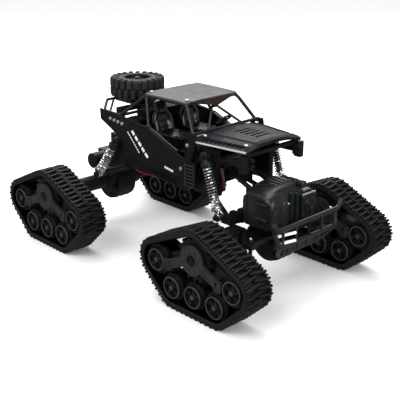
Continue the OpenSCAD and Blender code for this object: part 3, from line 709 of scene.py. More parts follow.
def wheel_shape(drum):
    """One wheel: two drums on an axle, each with a dished five-spoke face."""
    face = WHEEL_FACE
    half = Shape()
    half.add(lathe([(2.5, 4.85), (drum - 0.5, 4.85), (drum, 5.3), (drum, 8.5), (drum - 0.5, 9.0), (9.6, 9.0),
                    (9.3, 9.4), (9.3, face - 0.7), (9.0, face - 0.15), (8.6, face), (8.1, face - 0.2),
                    (7.8, face - 0.8), (7.5, 8.4), (7.2, 8.0), (3.0, 7.8), (2.5, 7.8)], 44, closed=True))
    half.add(lathe([(3.4, 7.4), (3.3, 10.6), (2.9, 11.2), (2.7, 11.7), (2.2, face - 0.1), (1.3, face - 0.1),
                    (1.1, 11.4), (0, 11.3)], 28))
    for k in range(5):
        half.add(spoke_form(face), turned(72 * k + 18, "Z"))
    return both_faces(half).add(lathe([(2.0, -9), (2.0, 9)], 16))


def rim_ring_shape():
    """Bead round each face of a wheel, and the cap of its axle, coloured paler as a painted highlight: the
    light ring that the rim catches.
    """
    f = WHEEL_FACE
    half = Shape().add(lathe([(8.0, f - 0.6), (8.15, f - 0.12), (8.6, f + 0.02), (9.05, f - 0.08),
                              (9.36, f - 0.6), (9.36, f - 1.1), (8.4, f - 1.1)], 44, closed=True))
    half.add(lathe([(2.0, f - 0.9), (1.9, f - 0.06), (1.1, f - 0.04), (0, f - 0.3)], 20))
    return both_faces(half)


def spoke_form(face):
    """One spoke, narrow at the hub, wide and lower at the rim."""
    rings = []
    for r, half, tall in [(2.2, 1.1, 10.9), (4.2, 1.25, 10.4), (6.4, 1.7, 10.2), (8.4, 2.5, face - 1.5)]:
        rings.append(slice_x(r, [(-half - 0.4, 7.6), (half + 0.4, 7.6), (half, tall - 0.4),
                                 (half * 0.6, tall), (-half * 0.6, tall), (-half, tall - 0.4)]))
    return loft(rings)


def sprocket_shape():
    """Two toothed discs, each with a raised ring, on the drive shaft."""
    teeth = 16
    tip = BELT_HIGH.z - HUB_Z - LUG - BAND - 0.8
    outline = []
    for k in range(teeth):
        for share, r in [(-0.30, tip - 2.6), (-0.16, tip), (0.16, tip), (0.30, tip - 2.6)]:
            t = 2 * math.pi * (k + share) / teeth
            outline.append((r * math.cos(t), r * math.sin(t)))
    half = Shape().add(prism(outline, 5.0, 9.0))
    half.add(lathe([(14.2, 8.9), (14.0, 9.3), (12.8, 9.3), (12.6, 8.9)], 40))
    reach = high("front_right_sprocket").y + TRACK_Y
    return both_faces(half).add(lathe([(3.0, -reach), (3.0, 13.0)], 24))


def hub_nut_shape():
    """Hexagon nut with a recessed centre on the outer end of the drive shaft."""
    profile = [(2.4, 12.4), (2.4, 13.2), (2.1, 13.45), (1.2, 13.45), (1.1, 12.8), (0, 12.8)]
    return Shape().add(lathe(profile, 6))


def plate_arm(side):
    """Arm of a side plate with raised borders and an end clip, on the side of one idler."""
    shape = Shape()
    start, end = Vector((side * 9.5, HUB_Z - 3.6)), Vector((side * 25.2, 38.6))
    shape.add(strap(start, end, 8.2, 10.0, 12.1, 7.4))
    along = (end - start).normalized()
    across = Vector((-along.y, along.x))
    for edge in (-1, 1):
        shape.add(strap(start + across * edge * 3.5, end + across * edge * 3.1, 0.9, 11.4, 12.8))
    for k in range(5):
        spot = start.lerp(end, 0.3 + 0.14 * k) - across * side * 4.1
        shape.add(lathe([(0.5, 10.6), (0.5, 11.9), (0.3, 12.2)], 10), at(spot.x, spot.y, 0))
    clip = Vector((side * 28.0, 37.2))
    for a, b in [((-3.6, -4.6), (3.6, -3.5)), ((-3.6, 3.4), (3.6, 4.5)), ((-3.7, -4.5), (-2.7, 4.4)),
                 ((2.6, -4.5), (3.7, 4.4))]:
        shape.add(block((clip.x + a[0], clip.y + a[1], 10.0), (clip.x + b[0], clip.y + b[1], 12.75)))
    shape.add(block((clip.x - 3.2, clip.y - 4.1, 9.9), (clip.x + 3.2, clip.y + 4.0, 12.0)))
    shape.add(lathe([(1.7, 11.8), (1.7, 12.3), (1.3, 12.55), (0.8, 12.55), (0.7, 12.2), (0, 12.2)], 18),
              at(clip.x, clip.y, 0))
    return shape


def side_plate_shape():
    """Side plate: stepped hub disc with eight small screws, and two arms."""
    shape = Shape()
    disc = [(3.3, 9.9), (12.0, 9.9), (12.4, 10.3), (12.4, 12.4), (12.1, 12.75), (11.4, 12.75), (11.1, 12.3),
            (6.6, 12.3), (6.4, 12.9), (5.4, 13.2), (4.9, 13.1), (4.7, 11.4), (3.3, 11.4)]
    shape.add(lathe(disc, 56, closed=True), at(0, HUB_Z, 0))
    head = lathe([(1.15, 12.1), (1.15, 12.65), (0.9, 12.85), (0.55, 12.85), (0.45, 12.5), (0, 12.5)], 12)
    for k in range(8):
        t = 2 * math.pi * (k + 0.5) / 8
        shape.add(head, at(8.9 * math.cos(t), HUB_Z + 8.9 * math.sin(t), 0))
    for side in (-1, 1):
        shape.join(plate_arm(side))
    return shape


def frame_shape():
    """Track frame: centre web between the drums, cross posts, and a side plate on each face."""
    shape = Shape()
    web = 3.9
    shape.add(bushing(3.2, 9, 4.2, 0.4, 40), at(0, HUB_Z, 0))
    spots = [(-IDLER_X, IDLER_Z), (-ROAD_X, ROAD_Z), (0, ROAD_Z), (ROAD_X, ROAD_Z), (IDLER_X, IDLER_Z)]
    for x, z in spots:
        shape.add(bushing(2.1, 5, 4.2, 0.3), at(x, z, 0))
    for (x, z), (x2, z2) in zip(spots, spots[1:]):
        run = Vector((x2 - x, z2 - z)).normalized() * 3.5
        shape.add(strap((x + run.x, z + run.y), (x2 - run.x, z2 - run.y), 7.6, -web + 0.3, web - 0.3))
    for side in (-1, 1):
        shape.add(strap((side * 6, HUB_Z - 2), (side * (IDLER_X - 3.5), IDLER_Z + 1), 8.4,
                        -web + 0.1, web - 0.1))
        shape.add(block((side * 24 - 3, 35.5, -12.0), (side * 24 + 3, 42, 12.0)))
    shape.add(strap((0, ROAD_Z + 3), (0, HUB_Z - 6), 8.6, -web + 0.2, web - 0.2))
    plate = side_plate_shape()
    shape.join(plate)
    shape.join(plate, turned(180, "Y"))
    return shape


def make_track_units():
    """The four units. Each is drawn facing +Z in the XY plane, then stood up at its corner of the car."""
    belt, frame_form, sprocket, nut = belt_shape(), frame_shape(), sprocket_shape(), hub_nut_shape()
    shade_lining, road, idler = belt_shade_lining_shape(), wheel_shape(ROAD_DRUM), wheel_shape(IDLER_DRUM)
    wheels = {"idler_front": (IDLER_X, IDLER_Z, idler), "idler_rear": (-IDLER_X, IDLER_Z, idler),
              "road_front": (ROAD_X, ROAD_Z, road), "road_mid": (0, ROAD_Z, road),
              "road_rear": (-ROAD_X, ROAD_Z, road)}
    rings = rim_ring_shape()
    for unit in UNITS:
        middle = centre(unit + "_belt")
        stand = at(middle.x, middle.y, 0) @ (FLIP_Y if middle.y > 0 else Matrix.Identity(4)) @ OUTWARD

        def make(name, shape, finish, body, node, bevel, place=None):
            moved = Shape().join(shape, stand @ place if place else stand)
            nodes = [f"{unit}_{node}"] if node else ()
            piece(f"{unit}_{name}", moved, finish, f"{unit}_{body}", nodes, bevel)

        make("belt_tread", belt, "rubber", "track", "belt", 0)
        # near-black inner layer of the belt: painted shade
        make("belt_shade_lining", shade_lining, "shade_lining", "track", None, 0)
        make("frame_plates", frame_form, "track_frame", "track", "frame", 0.25)
        make("sprocket_teeth", sprocket, "sprocket", "sprocket", "sprocket", 0.25,
             at(0, HUB_Z, 0))
        make("hub_nut", nut, "sprocket", "sprocket", None, 0.15, at(0, HUB_Z, 0))
        for wheel, (x, z, form) in wheels.items():
            make(wheel + "_spokes", form, "wheel", wheel, wheel, 0.2, at(x, z, 0))
            # paler rim beads: painted highlight ring on each wheel face
            make(wheel + "_rings", rings, "rim", wheel, None, 0, at(x, z, 0))


# ---------- body ----------

PANEL = [(-72, 130), (-47, 128.5), (-8, 124.5), (29, 110), (40, 106.5), (44, 128.5), (51.5, 128.5), (53, 121),
         (47.5, 106), (54, 105.6), (53.4, 85.6), (41, 80), (-28, 87), (-43.5, 108), (-56, 114), (-71.5, 121)]


def side_panel_shape():
    """Right-hand panel: sheet with a raised rim, a rocker strip with slots and a pressed line."""
    shape = Shape()
    outline = PANEL[::-1]
    inner = SIDE_Y - 1.6
    shape.add(prism(outline, inner, SIDE_Y - 0.25), OUTWARD)
    rim = [(x, -SIDE_Y + 0.15, z) for x, z in PANEL]
    shape.add(tube(rim, 0.62, 8, closed=True))
    for k in range(14):
        x = -1.0 + 2.25 * k
        z = 87.4 - 0.097 * (x + 2)
        shape.add(block((x - 0.5, -SIDE_Y - 0.9, z - 2.4), (x + 0.5, -SIDE_Y + 0.4, z + 2.4)))
    for edge in (-3.0, 3.0):
        shape.add(tube([(-2.4, -SIDE_Y - 0.3, 87.6 + edge), (31.2, -SIDE_Y - 0.3, 84.4 + edge)], 0.6, 8))
    shape.add(tube([(-6, -SIDE_Y + 0.1, 120.6), (27, -SIDE_Y + 0.1, 107.2)], 0.5, 8))
    return shape


def side_step_shape():
    """Ladder of the side step: seven rungs between two posts."""
    shape = Shape()
    for k in range(7):
        z = 84.9 + k * 3.0
        shape.add(block((42.6, -SIDE_Y - 1.6, z - 0.75), (52.2, -SIDE_Y + 0.4, z + 0.75)))
    shape.add(block((41.4, -SIDE_Y - 1.2, 83.6), (43.0, -SIDE_Y + 0.4, 104.2)))
    shape.add(block((51.8, -SIDE_Y - 1.2, 84.4), (53.4, -SIDE_Y + 0.4, 104.4)))
    return shape


def decal_shape():
    """Plain dashed stripes on the panel: one broad, one thin, and a short one near the step."""
    shape = Shape()

    def stripe(a, b, width, dashes, fill):
        a, b = Vector(a), Vector(b)
        for k in range(dashes):
            start = a.lerp(b, k / dashes)
            end = a.lerp(b, (k + fill) / dashes)
            shape.add(strap(start, end, width, SIDE_Y - 0.3, SIDE_Y - 0.12), OUTWARD)

    stripe((-27.5, 117.5), (-5.5, 96.5), 2.8, 5, 0.74)
    stripe((-33.5, 115.5), (-17.5, 98.8), 1.1, 9, 0.72)
    stripe((15.5, 94.2), (27.0, 92.6), 1.9, 4, 0.75)
    return shape


def roof_shape():
    """Roof plate with rounded corners and a shallow crown."""
    start, end = low("roof_panel").x + 0.2, 32.0
    half_rear, half_front = high("roof_panel").y, 30.8

    def top(u, v):
        x = start + (end - start) * u
        half = half_rear + (half_front - half_rear) * u
        side = 2 * v - 1
        corner = min(1.0, min(u, 1 - u) * (end - start) / 3.0)
        half -= 3.0 * (1 - math.sqrt(max(0.0, 1 - (1 - corner) ** 2)))
        crown = -0.9 * abs(side) ** 4 - 0.5 * (2 * abs(u - 0.5)) ** 6
        return x, side * half, ROOF_Z + crown

    return Shape().add(surface_shell(top, 36, 36, 1.5))


def visor_shape():
    """Pointed visor that hangs from the front edge of the roof, with a rim along its lower edge."""
    shape = Shape()
    tip = (36.6, 0.0, 144.9)
    for end, turn in (((31.8, -27.2, 150.9), 1), ((31.8, 27.2, 150.9), -1)):
        quad = [(31.4, end[1], 151.2), (31.4, 0, 151.2), tip, (32.6, end[1], 150.4)]
        back = [(x - 1.1, y, z - 0.7) for x, y, z in quad]
        rings = [quad, back] if turn > 0 else [back, quad]
        shape.add(loft(rings))
    shape.add(tube([(32.4, -27.2, 150.4), tip, (32.4, 27.2, 150.4)], 0.5, 8))
    return shape


def cage_shape():
    """Roll cage of round tube with bent corners."""
    shape = Shape()
    r = 1.5
    z = ROOF_Z - 1.6 - r
    front_foot, middle_foot, rear_foot = (46.5, -37.5, 128), (-8, -38.9, 124), (-47, -38.8, 127.6)
    rear_top = (-19.5, -30.8, z)
    side = Shape()
    side.add(tube(bend([rear_foot, rear_top, (30.5, -29.4, z), front_foot], 5), r, 14))
    side.add(tube([rear_top, middle_foot], r * 0.9, 14))
    side.add(tube(bend([(-77, -30, 135.4), (-70, -38.8, 128.2), rear_foot], 4), r * 0.85, 12))
    side.add(tube([(-62, -38.8, 127.8), (-77, -22, 135.4)], 1.1, 10))
    side.add(tube([(33.2, -3, z - 5.5), (46.5, -20, 128)], 1.15, 12))
    side.add(tube([middle_foot, (29, -38.8, 110)], r * 0.9, 12))
    for foot in (front_foot, middle_foot, rear_foot):
        side.add(lathe([(0, -2.2), (2.0, -1.6), (2.3, 0), (2.0, 1.6), (0, 2.2)], 16), at(*foot))
    shape.join(both_sides(side))
    shape.add(tube([(-77, -30, 135.4), (-77, 30, 135.4)], 1.3, 12))
    for x, half, h in [(-19.5, 30.8, z), (30.5, 29.4, z), (46.5, 37.5, 128), (-47, 38.8, 127.6)]:
        shape.add(tube([(x, -half, h), (x, half, h)], r * 0.95, 12))
    shape.add(tube([(33.2, -3.4, z - 5.5), (33.2, 3.4, z - 5.5)], 1.15, 12))
    shape.add(tube([(30.5, 0, z), (33.2, 0, z - 5.5)], 1.1, 10))
    shape.add(block((-86, -13, 130.6), (-45.5, 13, 132.8)))
    for y in (-9, 0, 9):
        shape.add(block((-85, y - 0.8, 129.4), (-47, y + 0.8, 130.8)))
    shape.add(lathe([(6, 131), (6, 136.4), (5.4, 137)], 30), at(-69, 0, 0))
    shape.add(lathe([(2.3, 132), (2.3, 153.2), (1.9, 153.8)], 20), at(-69, 0, 0))
    return shape


def hood_shape():
    """Crowned hood with a raised middle, five straight vents and a row of louvres along each edge."""
    start, end = low("hood_panel").x, 101.5
    half_rear, half_front = high("hood_panel").y, 33.0
    crest = high("hood_panel").z
    first_vent, vent_pitch, vent_reach = 67.0, 5.6, 9.0

    def crown(side):
        return crest - 4.0 * abs(side) ** 2.3

    def ease(value):
        value = max(0.0, min(1.0, value))
        return value * value * (3 - 2 * value)

    def groove(distance, width, depth):
        return -depth * (1 - ease((abs(distance) - width * 0.5) / (width * 0.6)))

    def top(u, v):
        x = start + (end - start) * u
        half = half_rear + (half_front - half_rear) * u
        side = 2 * v - 1
        y = side * half
        z = crown(side) - 0.8
        bulge_half = 23.0 - 5.0 * u
        z += 0.9 * (1 - ease((abs(y) - bulge_half) / 2.2)) * ease((x - start) / 6)
        z -= 1.2 * ease((x - 96) / 6) ** 2
        # short louvres along the edge
        along = (x - 56.0) / 4.2
        nearest = round(along)
        if 0 <= nearest <= 9:
            inset = half - abs(y)
            skew = (inset - 5.0) * 0.35
            gap = (along - nearest) * 4.2 + skew
            if 1.8 < inset < 7.8:
                z += groove(gap, 1.9, 2.0) * ease((inset - 1.8) / 0.7) * ease((7.8 - inset) / 0.7)
        # five plain vents across the raised middle: straight, equal and centred
        for k in range(5):
            z += groove(x - (first_vent + vent_pitch * k), 1.2, 1.4) * ease((vent_reach - abs(y)) / 1.2)
        return x, y, z

    shape = Shape().add(surface_shell(top, 170, 150, 1.9))
    # rounded lip along the front edge, which follows the crown
    lip = []
    for k in range(17):
        side = k / 8 - 1
        lip.append((101.2, 32.4 * side, crown(side) - 3.0))
    shape.add(tube(lip, 1.25, 12))
    return shape


def hood_trim_shape():
    """Bright trim along both side edges of the hood."""
    shape = Shape()
    start, half, crest = low("hood_panel").x, high("hood_panel").y, high("hood_panel").z
    for s in (-1, 1):
        ends = [(start + 2, s * (half - 0.5), crest - 6.0), (101.5, s * 33.2, crest - 6.0)]
        shape.add(tube(ends, 0.85, 10))
    return shape


def seat_shape():
    """Bucket seat: cushion, back with side bolsters, and a head rest, as one moulded shell."""

    def superellipse(width, depth, power, count=28):
        ring = []
        for i in range(count):
            t = 2 * math.pi * i / count
            c, s = math.cos(t), math.sin(t)
            ring.append((math.copysign(abs(s) ** (2 / power), s) * depth / 2,
                         math.copysign(abs(c) ** (2 / power), c) * width / 2))
        return ring

    shape = Shape()
    back = []
    for z, width, depth, lean in [(0, 21, 6, 0), (1.5, 22.5, 7.2, -0.3), (10, 23.2, 7.6, -2.4),
                                  (18, 22.6, 7.0, -4.6), (22.5, 18, 6.4, -5.8), (25, 13, 6.0, -6.4),
                                  (30.5, 12.5, 6.2, -7.8), (33.5, 10.5, 5.0, -8.6), (34.6, 7.0, 2.6, -8.9)]:
        ring = []
        for x, y in superellipse(width, depth, 4):
            hollow = 2.4 * max(0.0, 1 - (abs(y) / (width * 0.34)) ** 4) if x > 0 and z < 24 else 0.0
            ring.append((x - hollow + lean - 13, y, z + 107.6))
        back.append(ring)
    shape.add(loft(back))
    cushion = []
    for z, width, depth in [(106.8, 20, 24), (108.4, 21.8, 26), (112.5, 22.4, 26.4), (115.8, 22.0, 25.6),
                            (116.9, 20.2, 23.4)]:
        ring = []
        for x, y in superellipse(width, depth, 4.5):
            drop = 2.2 * max(0.0, 1 - (abs(y) / (width * 0.33)) ** 4) if z > 114 else 0.0
            ring.append((x - 1.5, y, z - drop))
        cushion.append(ring)
    shape.add(loft(cushion))
    for k in range(3):
        x, z = -16.6 - 1.9 * k, 114.5 + 5.4 * k
        shape.add(tube([(x, -6.0, z), (x + 5.6, -5.6, z), (x + 5.6, 5.6, z), (x, 6.0, z)], 0.45, 8))
    return shape


def interior_shape():
    """Cabin moulding: floor, dashboard with gauge pods, tunnel and two seats."""
    shape = Shape()
    shape.add(block((-26, -30, 105.2), (44, 30, 107.4)))
    dash = []
    for y in (-29, -27, 27, 29):
        inset = 0.8 if abs(y) == 29 else 0.0
        dash.append([(36 + inset, y, 107), (43.5 - inset, y, 107), (43.5 - inset, y, 124.5 - inset),
                     (40, y, 126.2 - inset), (37.5, y, 125.2 - inset), (35.4 + inset, y, 119)])
    shape.add(loft(dash))
    pod = lathe([(4.2, -3), (4.2, 1.2), (3.8, 1.8), (3.2, 1.8), (3.0, 0.9), (0, 0.9)], 24)
    for y in (14, -8, -17):
        scale = 1.0 if y > 0 else 0.7
        shape.add(pod, at(36.4, y, 121.8) @ turned(-75, "Y") @ Matrix.Scale(scale, 4))
    shape.add(block((-8, -3, 107), (36, 3, 111.5)))
    shape.add(tube([(14, 0, 111), (12.5, 0, 118.5)], 0.6, 8))
    shape.add(lathe([(0, -1.4), (1.0, -1.1), (1.4, 0), (1.0, 1.1), (0, 1.4)], 14), at(12.4, 0, 119.4))
    seat = seat_shape()
    for y in (-16, 16):
        shape.join(seat, at(1.5, y, 0))
    return shape


def rear_moulding_shape():
    """Bulkhead behind the seats and the ribbed shelf over it."""
    shape = Shape()
    shape.add(block((-29, -34, 105.2), (-25, 34, 125)))
    shape.add(block((-44.6, -35.2, 121.5), (-25, 35.2, 125)))
    shape.add(block((-44, -22, 124), (-30, 22, 131.2)))
    for k in range(9):
        shape.add(block((-43, -20.6 + k * 4.9, 130.6), (-31, -18.8 + k * 4.9, 131.8)))
    for s in (-1, 1):
        for k in range(4):
            shape.add(block((-42.5 + k * 3.4, s * 28.5 - 4, 124.4), (-41 + k * 3.4, s * 28.5 + 4, 126.0)))
    return shape


def steering_wheel_shape():
    """Toy steering wheel with three spokes on its column."""
    shape = Shape()
    ring = [(6.6 * math.cos(t), 6.6 * math.sin(t), 0) for t in [2 * math.pi * i / 36 for i in range(36)]]
    place = at(31, 14, 129) @ turned(-36, "Y")
    shape.add(tube(ring, 1.0, 10, closed=True), place)
    for a in (0, 120, 240):
        shape.add(strap((1.2, 0), (6.4, 0), 1.8, -0.5, 0.5, 1.2), place @ turned(a, "Z"))
    shape.add(lathe([(2.1, -1), (2.1, 0.6), (1.6, 1.1), (0, 1.2)], 20), place)
    shape.add(tube([(36, 14, 122), (31, 14, 129)], 1.5, 12))
    return shape


def spare_measures():
    """Place, height and outer radius of the spare wheel."""
    size = high("spare_wheel") - low("spare_wheel")
    return at(centre("spare_wheel").x, 0, low("spare_wheel").z), size.z, size.y / 2


def spare_wheel_shape():
    """Spare tyre lying flat: carcass, staggered tread blocks and shoulder lugs."""
    shape = Shape()
    place, tall, outer = spare_measures()
    mid = tall / 2
    body_r = outer - 3.0
    profile = [(12.6, 1.6), (13.4, 0.5), (16.5, 0.4), (20.0, 1.3), (body_r - 1.0, 2.6), (body_r, 4.6),
               (body_r + 0.15, mid), (body_r, tall - 4.6), (body_r - 1.0, tall - 2.6), (20.0, tall - 1.3),
               (16.5, tall - 0.4), (13.4, tall - 0.5), (12.6, tall - 1.6)]
    shape.add(lathe(profile, 72, closed=True), place)
    count = 22
    for k in range(count):
        for level, turn in ((0, 0.0), (1, 0.5)):
            angle = 360 * (k + turn) / count
            z0, z1 = (mid + 0.3, tall - 0.7) if level else (0.7, mid - 0.3)
            rings = []
            for r, half, inset in [(body_r - 1.2, 2.5, 0.0), (outer - 0.4, 2.1, 0.2), (outer, 1.8, 0.7)]:
                rings.append(slice_x(r, [(-half, z0 + inset), (half * 0.9, z0 + inset + 0.4 * (not level)),
                                         (half, z1 - inset), (-half * 0.9, z1 - inset - 0.4 * level)]))
            shape.add(loft(rings), place @ turned(angle, "Z"))
            outline = [(outer - 0.8, -1.7), (outer - 0.8, 1.7), (18.2, 1.2), (17.6, 0), (18.2, -1.2)][::-1]
            lift = (tall - 2.4, tall) if level else (0.0, 2.4)
            shape.add(prism(outline, *lift), place @ turned(angle, "Z"))
    return shape


def spare_rim_shape():
    """Dished rim of the spare wheel with six ribs and a hexagon nut."""
    shape = Shape()
    place, tall, _ = spare_measures()
    dish = [(3.0, 6.0), (12.9, 6.0), (12.9, tall - 1.2), (12.5, tall - 0.7), (11.8, tall - 0.9),
            (11.2, tall - 4.5), (6.5, tall - 6.0), (5.2, tall - 4.4), (3.0, tall - 4.4)]
    shape.add(lathe(dish, 56, closed=True), place)
    for k in range(6):
        shape.add(strap((4.5, 0), (11.9, 0), 2.2, tall - 7, tall - 3.4, 3.4), place @ turned(60 * k, "Z"))
    shape.add(lathe([(4.0, tall - 4.6), (4.0, tall - 2.6), (3.4, tall - 1.8), (2.8, tall - 1.8)], 6), place)
    return shape


def screws_shape():
    """All the pan-head screws that show on the body."""
    shape = Shape()
    head = screw_head()
    for s in (-1, 1):
        for x, y, z in [(54, 31, 127.0), (96, 27, 126.6)]:
            shape.join(head, at(x, s * y, z))
        for x in (-17, 28):
            shape.join(head, at(x, s * 27, ROOF_Z - 0.4))
    sides = Shape()
    for x, z in [(44.5, 119.5), (36.5, 97.5), (-57, 123.4), (-51.5, 122.8), (-46, 122.2), (-40.5, 121.6)]:
        sides.join(head, at(x, -SIDE_Y, z) @ turned(90, "X"))
    shape.join(both_sides(sides))
    return shape


def tray_shape():
    """Electronics tray: case with ribbed sides, a lid and cable glands."""
    shape = Shape()
    a, b = low("electronics_box"), high("electronics_box")
    shape.add(block((a.x, a.y, a.z), (b.x, b.y, 99.4)))
    shape.add(block((-28, -22, 99), (32, 22, b.z)))
    for k in range(9):
        x = a.x + 4 + k * 8
        for s in (-1, 1):
            shape.add(block((x - 0.8, s * 24.6 - 0.9, a.z + 1), (x + 0.8, s * 24.6 + 0.9, 98.6)))
    for x in (-24, 28):
        for y in (-18, 18):
            shape.add(lathe([(1.8, 103), (1.8, 104.2), (1.3, 104.6)], 14), at(x, y, 0))
    return shape


def make_body():
    body = "chassis"
    piece("side_panel_sheets", both_sides(side_panel_shape()), "panel", body, ["side_panels"],
          0.2)
    piece("side_steps", both_sides(side_step_shape()), "bumper", body, bevel=0.2)
    piece("side_stripes", both_sides(decal_shape()), "decal", body)
    piece("roof_plate", roof_shape(), "roof", body, ["roof_panel"], 0.3)
    piece("roof_visor", visor_shape(), "visor", body, bevel=0.2)
    piece("cage_tubes", cage_shape(), "cage", body, ["roll_cage"], 0.2)
    piece("hood_skin", hood_shape(), "hood", body, ["hood_panel"], 0)
    piece("hood_trim", hood_trim_shape(), "trim", body)
    piece("rear_moulding", rear_moulding_shape(), "chassis", body, bevel=0.3)
    piece("cabin_moulding", interior_shape(), "seat", body, ["cabin_interior"], 0.3)
    piece("toy_steering_wheel", steering_wheel_shape(), "seat", body, bevel=0.15)
    piece("electronics_tray", tray_shape(), "box", body, ["electronics_box"], 0.4)
    piece("spare_tyre", spare_wheel_shape(), "tyre", body, ["spare_wheel"], 0.25)
    piece("spare_rim", spare_rim_shape(), "wheel", body, bevel=0.2)
    piece("panel_screws", screws_shape(), "screw", body, ["body_screws"], 0)


# ---------- suspension ----------

def on_shock(top, eye):
    """Frame whose origin is the upper eye of the right-hand shock and whose -Z points down it."""
    tilt = math.degrees(math.atan2(eye.x - top.x, top.z - eye.z))
    return at(top.x, SHOCK_Y, top.z) @ turned(-tilt, "Y")


def make_shocks():
    """Coil-over shocks: body, chromed rod and a real helical spring for each end of the car."""
    for end in ("front", "rear"):
        bodies, rods = end + "_shock_bodies", end + "_shock_rods"
        leans_forward = end == "front"
        top_x = low(bodies).x + 3.8 if leans_forward else high(bodies).x - 3.8
        eye_x = high(rods).x - 3.6 if leans_forward else low(rods).x + 3.6
        top = Vector((top_x, 0, high(bodies).z - 3.8))
        eye = Vector((eye_x, 0, low(rods).z + 3.6))
        foot = -(top - eye).length
        skirt, seat, cup = foot * 0.62, -9.1, foot + 7.7
        place = on_shock(top, eye)
        cylinder = Shape()
        cylinder.add(bushing(2.05, 3.8, 2.6, 0.3), OUTWARD)
        cylinder.add(lathe([(1.4, skirt), (2.4, skirt), (2.7, skirt + 0.4), (2.7, -9.2), (4.4, -9.0),
                            (4.7, -8.6), (4.7, -5.2), (4.4, -4.6), (3.4, -4.4), (2.9, -3.0), (0, -2.5)], 32))
        for k in range(9):
            z = -10.4 - k * 0.9
            cylinder.add(lathe([(2.6, z), (2.95, z - 0.25), (2.6, z - 0.5)], 28))
        for k in range(12):
            cylinder.add(block((4.3, -0.35, -8.4), (4.95, 0.35, -5.3)), turned(30 * k, "Z"))
        rod = Shape()
        rod.add(bushing(2.4, 3.6, 2.6, 0.3), at(0, 0, foot) @ OUTWARD)
        rod.add(lathe([(0, foot + 3.0), (2.4, foot + 3.2), (2.4, foot + 5.4), (4.5, foot + 5.4),
                       (4.7, foot + 5.7), (4.7, foot + 7.3), (4.4, foot + 7.6), (2.2, foot + 7.6),
                       (1.9, foot + 8.6), (1.25, foot + 8.8), (1.25, -24.0), (0, -23.8)], 32))
        wire, radius = 0.5, 3.8
        bottom, summit = cup + wire, seat - wire
        turns = round((summit - bottom) / 2.1)
        coil = Shape().add(tube(coil_path(radius, bottom, summit, turns), wire, 8))
        piece(f"{end}_shock_cylinders", both_sides(Shape().join(cylinder, place)), "shock", bodies,
              [bodies], 0.12)
        piece(f"{end}_shock_rod_ends", both_sides(Shape().join(rod, place)), "rod", rods,
              [rods], 0.12)
        springs = piece(f"{end}_coil_springs", both_sides(Shape().join(coil, place)), "spring", None,
                        [end + "_springs"])
        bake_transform(springs)


def coil_path(radius, bottom, top, turns, steps=22):
    """Helix with a flat closed turn at each end."""
    path = []
    total = turns * steps
    for i in range(total + 1):
        t = i / steps
        share = (t - 0.8) / (turns - 1.6)
        share = max(0.0, min(1.0, share))
        angle = 2 * math.pi * t
        path.append((radius * math.cos(angle), radius * math.sin(angle), bottom + (top - bottom) * share))
    return path


# ---------- axles ----------

